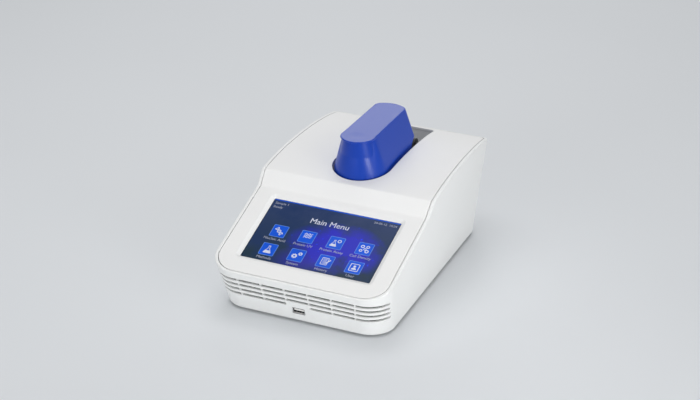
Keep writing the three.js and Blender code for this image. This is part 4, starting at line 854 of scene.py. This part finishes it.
def make_arm():
    skin = Skin()
    table = np.array([arm_outline(z) for z in ARM_Z])
    low, high = meet(table, arm_low), meet(table, arm_top)

    def outside(z, normal_z):
        """The loft's ring at heights, with its lip, and the way out of it."""
        points, flat = loft_at(table, z), unit(loft_normal(table, normal_z) * (1, 1, 0))
        return points + flat * lip_reach(points, high - z)[:, None], flat
    heights = [high - d for d in LIP_DEPTHS]
    for share in np.linspace(0, 1, 6)[1:]:
        heights.append((high - LIP_DEPTHS[-1]) * (1 - share) + low * share)
    shape = [outside(z, z)[0] for z in heights[::-1]]
    made = []
    for i, points in enumerate(shape):
        up = shape[min(i + 1, len(shape) - 1)] - shape[max(i - 1, 0)]
        made.append(skin.ring(points, unit(np.cross(ahead(points), up))))
        if i:
            skin.strip(made[-2], made[-1])
    corner, flat = outside(high, high - 1)
    up = np.tile((0, -TOP_RISE, 1.0), (len(corner), 1))
    last = fold(skin, made[-1], corner, -flat, unit(up), ARM_EDGE, 5)

    def lift(p, depth=0.0):
        across, along = p[:, 0], p[:, 1] - DIMPLE_Y
        left = np.clip(1 - (across / DIMPLE_HALF_X) ** 2 - (along / DIMPLE_HALF_Y) ** 2, 0, 1)
        slope = 4 * DIMPLE_DEPTH * left
        normal = np.column_stack([-slope * across / DIMPLE_HALF_X ** 2,
                                  -TOP_RISE - slope * along / DIMPLE_HALF_Y ** 2, np.ones(len(p))])
        return np.column_stack([p, arm_top(p[:, 1]) - DIMPLE_DEPTH * left ** 2 - depth]), unit(normal)
    polar = [(DIMPLE_HALF_X * r * math.cos(a), DIMPLE_Y + DIMPLE_HALF_Y * r * math.sin(a))
             for r in np.linspace(0.05, 1.1, 15) for a in np.linspace(0, 2 * math.pi, 37)[:-1]]
    lattice = [(x, y) for x in range(-15, 16, 5) for y in range(18, 100, 6)]
    skin.patch([[skin.points[i][:2] for i in last]], [last], polar + lattice, lift)
    # inside
    inner = np.array([arm_outline(z, -ARM_WALL) for z in ARM_Z])
    inner_low, inner_high = meet(inner, arm_low), meet(inner, lambda y: arm_top(y) - ARM_WALL)
    rows = []
    for share in np.linspace(0, 1, 6):
        z = inner_low * (1 - share) + inner_high * share
        rows.append(skin.ring(loft_at(inner, z), -loft_normal(inner, z)))
        if len(rows) > 1:
            skin.strip(rows[-1], rows[-2])
    skin.strip(rows[0], made[0])
    skin.patch([loft_at(inner, inner_high)[:, :2]], [rows[-1]], [], lambda p: lift(p, ARM_WALL), flip=True)
    arm = skin.made("arm_shell", ["arm_blue"])
    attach(arm, "arm")
    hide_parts("arm_cover")


make_arm()

# ---- CAD pieces with their sharp edges eased ----

BODY_OF = {node: body for body, nodes in frame["record"]["behaviour"]["bodies"].items() for node in nodes}
CREASE = 32 * DEG


def eased(name, width):
    """A copy of a piece of the frame whose sharp edges are rounded off by a width."""
    mesh = frame["nodes"][name].data.copy()
    mesh.name = name + "_eased"
    work = bmesh.new()
    work.from_mesh(mesh)
    bmesh.ops.remove_doubles(work, verts=work.verts, dist=1e-7)
    bmesh.ops.dissolve_limit(work, angle_limit=DEG, verts=work.verts, edges=work.edges)
    sharp = [e for e in work.edges if len(e.link_faces) == 2 and e.calc_face_angle(0) > CREASE]
    bmesh.ops.bevel(work, geom=sharp, offset=width * MM, offset_type="OFFSET", segments=3, profile=0.5,
                    affect="EDGES", clamp_overlap=True)
    work.to_mesh(mesh)
    work.free()
    mesh.polygons.foreach_set("use_smooth", [True] * len(mesh.polygons))
    mesh.set_sharp_from_angle(angle=CREASE)
    piece = placed(mesh.name, mesh)
    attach(piece, BODY_OF[name])
    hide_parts(name)


EASED = {
    "hinge_bracket": 0.4, "hinge_pin": 0.3, "hinge_brake_left": 0.5, "hinge_brake_right": 0.5,
    "arm_frame": 0.3, "arm_well": 0.3, "front_usb_shell": 0.1, "front_usb_tongue": 0.15,
    "rear_usb_shell": 0.1, "rear_usb_tongue": 0.15, "power_inlet_body": 0.3, "power_inlet_pin": 0.3,
    "switch_frame": 0.35, "switch_rocker": 0.3, "pedestal_guide": 0.3, "lower_pedestal": 0.15,
    "upper_pedestal": 0.15, "arm_pad_left": 0.3, "arm_pad_right": 0.3, "cuvette_holder": 0.3,
    "base_plate": 0.3, "foot_front_left": 0.6, "foot_front_right": 0.6, "foot_rear_left": 0.6,
    "foot_rear_right": 0.6}
for name, width in EASED.items():
    eased(name, width)

# ---- Lining and springs of the front socket ----

SHELL_SKIN, LINING_PLAY, LINING_WALL, LINING_SETBACK, LOWER_LIP = 0.4, 0.05, 0.35, 0.3, 0.7
LINING_RADIUS, LINING_EDGE, LINING_END = 0.5, 0.1, 5
SPRING_X, SPRING_HALF, SPRING_RISE, SPRING_SKIN, SPRING_LENGTH, SPRING_SETBACK = 3.1, 0.8, 0.6, 0.2, 6, 0.6
CONTACT_X, CONTACT_HALF, CONTACT_SKIN, CONTACT_DROP = (-3.5, -1.2, 1.2, 3.5), 0.5, 0.12, 0.14


def bar(skin, x, half, line, thickness, paint):
    """A flat strip that follows a line in y and z, half its width to each side of x."""
    line = np.array(line, float)
    along = unit(np.gradient(line, axis=0))
    rings = []
    for (y, z), (dy, dz) in zip(line, along * thickness):
        corners = np.array([(x - half, y, z), (x + half, y, z),
                            (x + half, y - dz, z + dy), (x - half, y - dz, z + dy)])
        rings.append(skin.ring(corners, unit(corners - corners.mean(axis=0))))
        if len(rings) > 1:
            skin.strip(rings[-1], rings[-2], paint)
    skin.faces += [tuple(rings[0]), tuple(reversed(rings[-1]))]
    skin.paints += [paint, paint]


def make_socket_lining():
    (_, y, z), (half_x, half_y, half_z) = middle_and_half("front_usb_shell")
    half_x, half_z = (half - SHELL_SKIN - LINING_PLAY for half in (half_x, half_z))
    front, back = front_y(z) + LINING_SETBACK, y + half_y - LINING_END
    outer, ways = rounded_loop(half_x, half_z, LINING_RADIUS, (0, z), 4)
    inner = outer - ways * LINING_WALL
    inner[:, 1] += np.where(inner[:, 1] < z, LOWER_LIP, 0)
    out = np.column_stack([ways[:, 0], np.zeros(len(ways)), ways[:, 1]])
    face = np.tile((0, -1.0, 0), (len(ways), 1))
    skin = Skin()
    last = None
    for flat, y, normals in (
            (outer, back, out), (outer, front + LINING_EDGE, out),
            (outer - ways * LINING_EDGE, front, face), (inner + ways * LINING_EDGE, front, face),
            (inner, front + LINING_EDGE, -out), (inner, back, -out)):
        leaned = y - (flat[:, 1] - z) * math.tan(FRONT_LEAN)
        ring = skin.ring(np.column_stack([flat[:, 0], leaned, flat[:, 1]]), normals)
        if last:
            # the lining's inner wall, back from its front edge, is painted black: a painted shade for the
            # dark inside of the socket
            skin.strip(last, ring, 1 if flat is inner and y == back else 0)
        last = ring
    lining = skin.made("socket_lining", ["tin_plate", "black_plastic"])
    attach(lining, "unit")
    skin = Skin()
    run = np.linspace(0, 1, 9)
    floor = z - half_z + LINING_WALL + LOWER_LIP + 0.02
    rise = SPRING_RISE * np.sin(math.pi * run ** 0.8)
    line = np.column_stack([front + SPRING_SETBACK + SPRING_LENGTH * run, floor + rise])
    for x in (-SPRING_X, SPRING_X):
        bar(skin, x, SPRING_HALF, line, SPRING_SKIN, 0)
    tongue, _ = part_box("front_usb_tongue")
    under, start = tongue.z / MM - CONTACT_DROP, tongue.y / MM + 0.5
    for x in CONTACT_X:
        line = [(start, under + 0.06), (start + 0.8, under), (start + 4, under), (start + 8, under)]
        bar(skin, x, CONTACT_HALF, line, CONTACT_SKIN, 1)
    springs = skin.made("socket_contacts", ["steel", "contact_brass"])
    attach(springs, "unit")


make_socket_lining()

# ---- Picture on the screen ----

GLASS_DEPTH, ART_DEPTH, ART_EDGE, TOP_STRIP = 2.9, 0.03, 0.6, 0.85
TILE_X, TILE_V = (-50.3, -16.35, 17.6, 51.55), (69.65, 41.3)
TILE_HALF, TILE_BORDER = 8.9, 0.55


def arc(x, y, radius, start=0.0, sweep=360.0):
    turns = [(start + sweep * i / 20) * DEG for i in range(20 if sweep == 360 else 21)]
    return [(x, y) + radius * way(turn) for turn in turns]


def block(x, y, half_x, half_y, radius):
    return rounded_loop(half_x, half_y, radius, (x, y), 4)[0]


def stroke(points, width):
    """A band of even width along a line."""
    line = np.array(points, float)
    along = unit(np.gradient(line, axis=0))
    side = np.column_stack([-along[:, 1], along[:, 0]]) * width / 2
    return np.vstack([line + side, (line - side)[::-1]])


def framed(x, y, half_x, half_y, radius, width):
    return [block(x, y, half_x, half_y, radius),
            block(x, y, half_x - width, half_y - width, radius - width / 2)]


def gear(x, y, radius):
    rim = []
    for i in range(8):
        for share, reach in ((-0.3, 0.78), (-0.2, 1.0), (0.2, 1.0), (0.3, 0.78)):
            rim.append((x, y) + radius * reach * way(math.pi / 4 * (i + share)))
    return [rim, arc(x, y, radius * 0.36)]


def flask(x, y, scale):
    glass = [(-1.1, 5), (1.1, 5), (1.1, 1.6), (4.2, -4.2), (3.6, -5), (-3.6, -5), (-4.2, -4.2), (-1.1, 1.6)]
    inner = [(-0.5, 4.4), (0.5, 4.4), (0.5, 1.4), (2.1, -1.4), (-2.1, -1.4), (-0.5, 1.4)]
    return [[(x + scale * a, y + scale * b) for a, b in loop] for loop in (glass, inner)]


def helix():
    turns = np.linspace(-math.pi * 1.25, math.pi * 1.25, 40)
    shapes = []
    for side in (1, -1):
        u, w = turns * 1.55, side * 2.1 * np.cos(turns)
        shapes.append([stroke(np.column_stack([u + w, w - u]) / math.sqrt(2), 0.8)])
    for turn in (-3.6, -2.8, -0.5, 0.5, 2.8, 3.6):
        u, reach = turn * 1.55, 1.9 * math.cos(turn)
        shapes.append([stroke(np.array([(u + w, w - u) for w in (-reach, reach)]) / math.sqrt(2), 0.5)])
    return shapes


def ring_of(x, y, radius, inner):
    return [arc(x, y, radius), arc(x, y, inner)]


def page():
    lines = [[stroke([(-3.0, y), (1.6, y)], 0.6)] for y in (3.2, 1.6, 0.0, -1.6, -3.2)]
    return [framed(-0.7, 0, 4.0, 5.2, 0.8, 0.7)] + lines + [[stroke([(1.4, -2.6), (5.4, 3.0)], 1.3)]]


WAVE = np.linspace(-4.6, 4.6, 30)
CELLS = ((-3.2, 3.0, 2.2), (2.9, 3.2, 2.0), (-3.4, -3.0, 1.9), (0.6, -0.4, 1.7), (3.6, -3.2, 2.3))
TILES = (
    ("Nucleic Acid", helix()),
    ("Protein UV", [[stroke(np.column_stack([WAVE, level + 0.8 * np.sin(WAVE * 1.7)]), 0.75)]
                    for level in (4.4, 2.0, -0.4)]),
    ("Protein Assay", [flask(-1.8, -0.6, 0.95), ring_of(3.4, 3.0, 2.3, 1.4)]),
    ("Cell Density", [ring_of(x, y, r, r * 0.55) for x, y, r in CELLS]),
    ("Methods", [flask(0, 0, 1.1)]),
    ("System", [gear(-2.2, -1.4, 3.4), gear(3.4, 2.8, 2.5)]),
    ("History", page()),
    ("User", [framed(0, 0, 5.4, 5.4, 1.2, 0.8), [arc(0, 1.5, 1.5)], [arc(0, -3.2, 2.9, 0, 180)]]))
CAPTIONS = ((2, (0, 90.6), "Main Menu", 10.5, "CENTER"), (3, (-73, 108.2), "Sample 1", 4.6, "LEFT"),
            (3, (-73, 102.4), "Ready", 4.6, "LEFT"), (3, (73, 108.2), "24-05-12  10:24", 4.2, "RIGHT"))


def shape(loops):
    """A flat curve filled between closed outlines."""
    curve = bpy.data.curves.new("outline", "CURVE")
    curve.dimensions, curve.fill_mode = "2D", "BOTH"
    for loop in loops:
        spline = curve.splines.new("POLY")
        spline.points.add(len(loop) - 1)
        for point, place in zip(spline.points, loop):
            point.co = (place[0], place[1], 0, 1)
        spline.use_cyclic_u = True
    return curve


def word(text, size, align):
    curve = bpy.data.curves.new("word", "FONT")
    curve.body, curve.size, curve.align_x = text, size, align
    curve.resolution_u = 3
    return curve


def picture_items():
    """The picture's parts: material, height over the glass, place and curve."""
    middle, half_x, half_y = (0, WINDOW_MIDDLE), WINDOW_WIDTH / 2, WINDOW_HEIGHT / 2
    strip = block(0, WINDOW_START + WINDOW_HEIGHT - TOP_STRIP, half_x, TOP_STRIP, 0.01)
    items = [(0, 0, (0, 0), shape([strip])),
             (4, 1, (0, 0), shape([block(*middle, half_x, half_y, 0.01),
                                   block(*middle, half_x - ART_EDGE, half_y - ART_EDGE / 2, 0.01)]))]
    for i, (label, glyph) in enumerate(TILES):
        place = (TILE_X[i % 4], TILE_V[i // 4])
        within = TILE_HALF - TILE_BORDER
        items.append((0, 0, place, shape([block(0, 0, within, within, 0.8)])))
        items.append((1, 0, place, shape(framed(0, 0, TILE_HALF, TILE_HALF, 1.3, TILE_BORDER))))
        items += [(2, 1, place, shape(loops)) for loops in glyph]
    for i, (label, _) in enumerate(TILES):
        items.append((3, 0, (TILE_X[i % 4], TILE_V[i // 4] - 14.0), word(label, 5.0, "CENTER")))
    return items + [(paint, 0, place, word(*caption)) for paint, place, *caption in CAPTIONS]


def make_picture():
    skin = Skin()
    for paint, level, place, curve in picture_items():
        curve.extrude = ART_DEPTH / 2
        holder = placed("outline", curve)
        mesh = bpy.data.meshes.new_from_object(holder.evaluated_get(bpy.context.evaluated_depsgraph_get()))
        bpy.data.objects.remove(holder)
        points = np.array([v.co for v in mesh.vertices]).reshape(-1, 3) + (*place, 0)
        height = points[:, 2] + ART_DEPTH * (level + 0.5)
        indices = skin.ring(*slope_lift(points[:, :2], GLASS_DEPTH - height))
        skin.faces += [tuple(indices[v] for v in face.vertices) for face in mesh.polygons]
        skin.paints += [paint] * len(mesh.polygons)
        bpy.data.meshes.remove(mesh)
    picture = skin.made("screen_picture", list(LIT), smooth=False)
    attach(picture, "unit")


def glow(paint, colour):
    """Makes a paint dark glass that is lit from within."""
    paint.join(colour, "Emission Color")
    paint.rough(paint.noise(60, 4), 0.06, 0.16)
    paint.put(Specular_IOR_Level=0.1, Emission_Strength=1.0, Base_Color=(0.004, 0.005, 0.01, 1))


def lit(name, colour):
    """A lit part of the display: a fine grid of cells and a slow fall-off over dark glass."""
    paint = Paint(name)
    cells = paint.bricks(2600, 0.06, 1, 0.97, 0.8)["Color"]
    base = linear(colour)
    shade = paint.blend(paint.noise(45, 2), 0.3, 0.7, dimmed(base, 0.86), base)
    glow(paint, paint.vector("MULTIPLY", shade, cells)[0])


def display_glass():
    """Dark glass over a picture: navy, with a soft violet glow and loose blue points in it."""
    paint = Paint("touch_glass_lit")
    place = paint.place()
    start = paint.vector("SUBTRACT", place, (0, SEAM_FRONT_Y * MM, SEAM_FRONT_Z * MM))[0]
    up = paint.vector("DOT_PRODUCT", start, (0, math.cos(SLOPE_ANGLE), math.sin(SLOPE_ANGLE)))["Value"]
    split = paint.node("SeparateXYZ", {0: place})
    flat = paint.node("CombineXYZ", {0: split.outputs[0], 1: up}).outputs[0]

    def spot(x, y, half_x, half_y):
        """A soft round spot, from 1 in its middle to 0."""
        moved = paint.vector("SUBTRACT", flat, (x, y, 0))[0]
        scaled = paint.vector("MULTIPLY", moved, (1 / half_x, 1 / half_y, 0))[0]
        return paint.spread(paint.vector("LENGTH", scaled)["Value"], 0.15, 1.0, 1, 0)
    wide, fine = paint.noise(34, 4, 0.6, flat), paint.noise(150, 3, 0.6, flat)
    ground = paint.blend(up, 0.03, 0.11, linear((24, 46, 60)), linear((36, 54, 94)))
    teal = paint.blend(wide, 0.4, 0.7, ground, linear((18, 44, 86)))
    reach = paint.product(spot(0.022, 0.062, 0.068, 0.042), paint.spread(wide, 0.3, 0.6, 0.25, 1.25))
    violet = paint.blend(reach, 0.1, 0.6, teal, linear((34, 36, 180)))
    corner = paint.spread(spot(-0.012, 0.034, 0.034, 0.02), 0.0, 1.0, 0, 0.7)
    violet = paint.mix(corner, violet, linear((44, 36, 166)))
    dots = paint.node("TexVoronoi", {"Vector": flat, "Scale": 210.0}).outputs["Distance"]
    few = paint.product(paint.spread(dots, 0.16, 0.3, 1, 0), paint.spread(fine, 0.52, 0.6, 0, 1))
    near = paint.product(few, paint.spread(reach, 0.15, 0.4, 0, 0.8))
    glow(paint, paint.mix(near, violet, linear((10, 56, 248))))


LIT = {"screen_blue": (0, 88, 226), "screen_edge": (104, 152, 236), "screen_white": (226, 230, 250),
       "screen_grey": (178, 182, 200), "screen_dark": (10, 22, 40)}
for name, colour in LIT.items():
    lit(name, colour)
display_glass()
glass = frame["nodes"]["touch_glass"].data.materials
glass.clear()
glass.append(PAINTS["touch_glass_lit"])
make_picture()

# ---- Stage ----

FLOOR_HALF = 6.0
AMBIENT, BACKDROP = ((0.985, 0.99, 1.0, 1), 0.42), (linear((232, 236, 240)), 1.0)


def make_stage():
    paint = Paint("floor_pale")
    paint.join(paint.blend(paint.noise(1.2, 2), 0.3, 0.7, linear((227, 230, 233)), linear((230, 233, 236))),
               "Base Color")
    paint.rough(paint.noise(30, 3), 0.5, 0.6)
    paint.put(Specular_IOR_Level=0.0)
    mesh = bpy.data.meshes.new("floor")
    corners = [(x * FLOOR_HALF, y * FLOOR_HALF, 0) for x, y in ((-1, -1), (1, -1), (1, 1), (-1, 1))]
    mesh.from_pydata(corners, [], [(0, 1, 2, 3)])
    mesh.materials.append(PAINTS["floor_pale"])
    placed("floor", mesh)


def make_world():
    """A plain light from all round; what looks at it, or reflects it, sees a pale backdrop."""
    world = bpy.data.worlds.new("world")
    bpy.context.scene.world = world
    world.use_nodes = True
    world.node_tree.nodes.clear()
    sky = Nodes(world.node_tree)
    rays = sky.node("LightPath", {}).outputs
    seen = rays["Is Camera Ray"]
    for ray in ("Is Glossy Ray", "Is Transmission Ray"):
        seen = sky.node("Math", {0: seen, 1: rays[ray]}, operation="MAXIMUM").outputs[0]
    ambient, backdrop = (sky.node("Background", {"Color": colour, "Strength": strength}).outputs[0]
                         for colour, strength in (AMBIENT, BACKDROP))
    mixed = sky.node("MixShader", {0: seen, 1: ambient, 2: backdrop}).outputs[0]
    sky.node("OutputWorld", {"Surface": mixed})


def area_light(name, place, aim, size, power, spread=180):
    data = bpy.data.lights.new(name, "AREA")
    data.shape = "RECTANGLE"
    data.size, data.size_y = size
    data.energy = power
    data.spread = spread * DEG
    lamp = placed(name, data)
    lamp.location = place
    lamp.visible_camera = False
    lamp.rotation_euler = (Vector(aim) - Vector(place)).to_track_quat("-Z", "Y").to_euler()


make_stage()
make_world()
area_light("softbox_top", (-0.2, 0.1, 1.7), (0, 0, 0.1), (1.6, 1.2), 10.5)
area_light("softbox_rear", (-0.74, 1.69, 1.08), (0, 0, 0.16), (0.8, 0.5), 3.5)
area_light("softbox_front", (-0.35, -1.6, 0.3), (0, 0, -0.08), (1.2, 0.36), 0.82, 50)
area_light("softbox_right", (1.35, -0.25, 0.85), (0, 0, 0.1), (0.9, 0.6), 1.7)
area_light("softbox_low", (0.93, -0.57, 0.15), (0, 0, 0.14), (0.4, 0.24), 0.41, 50)

bpy.context.scene.view_settings.view_transform = "Standard"
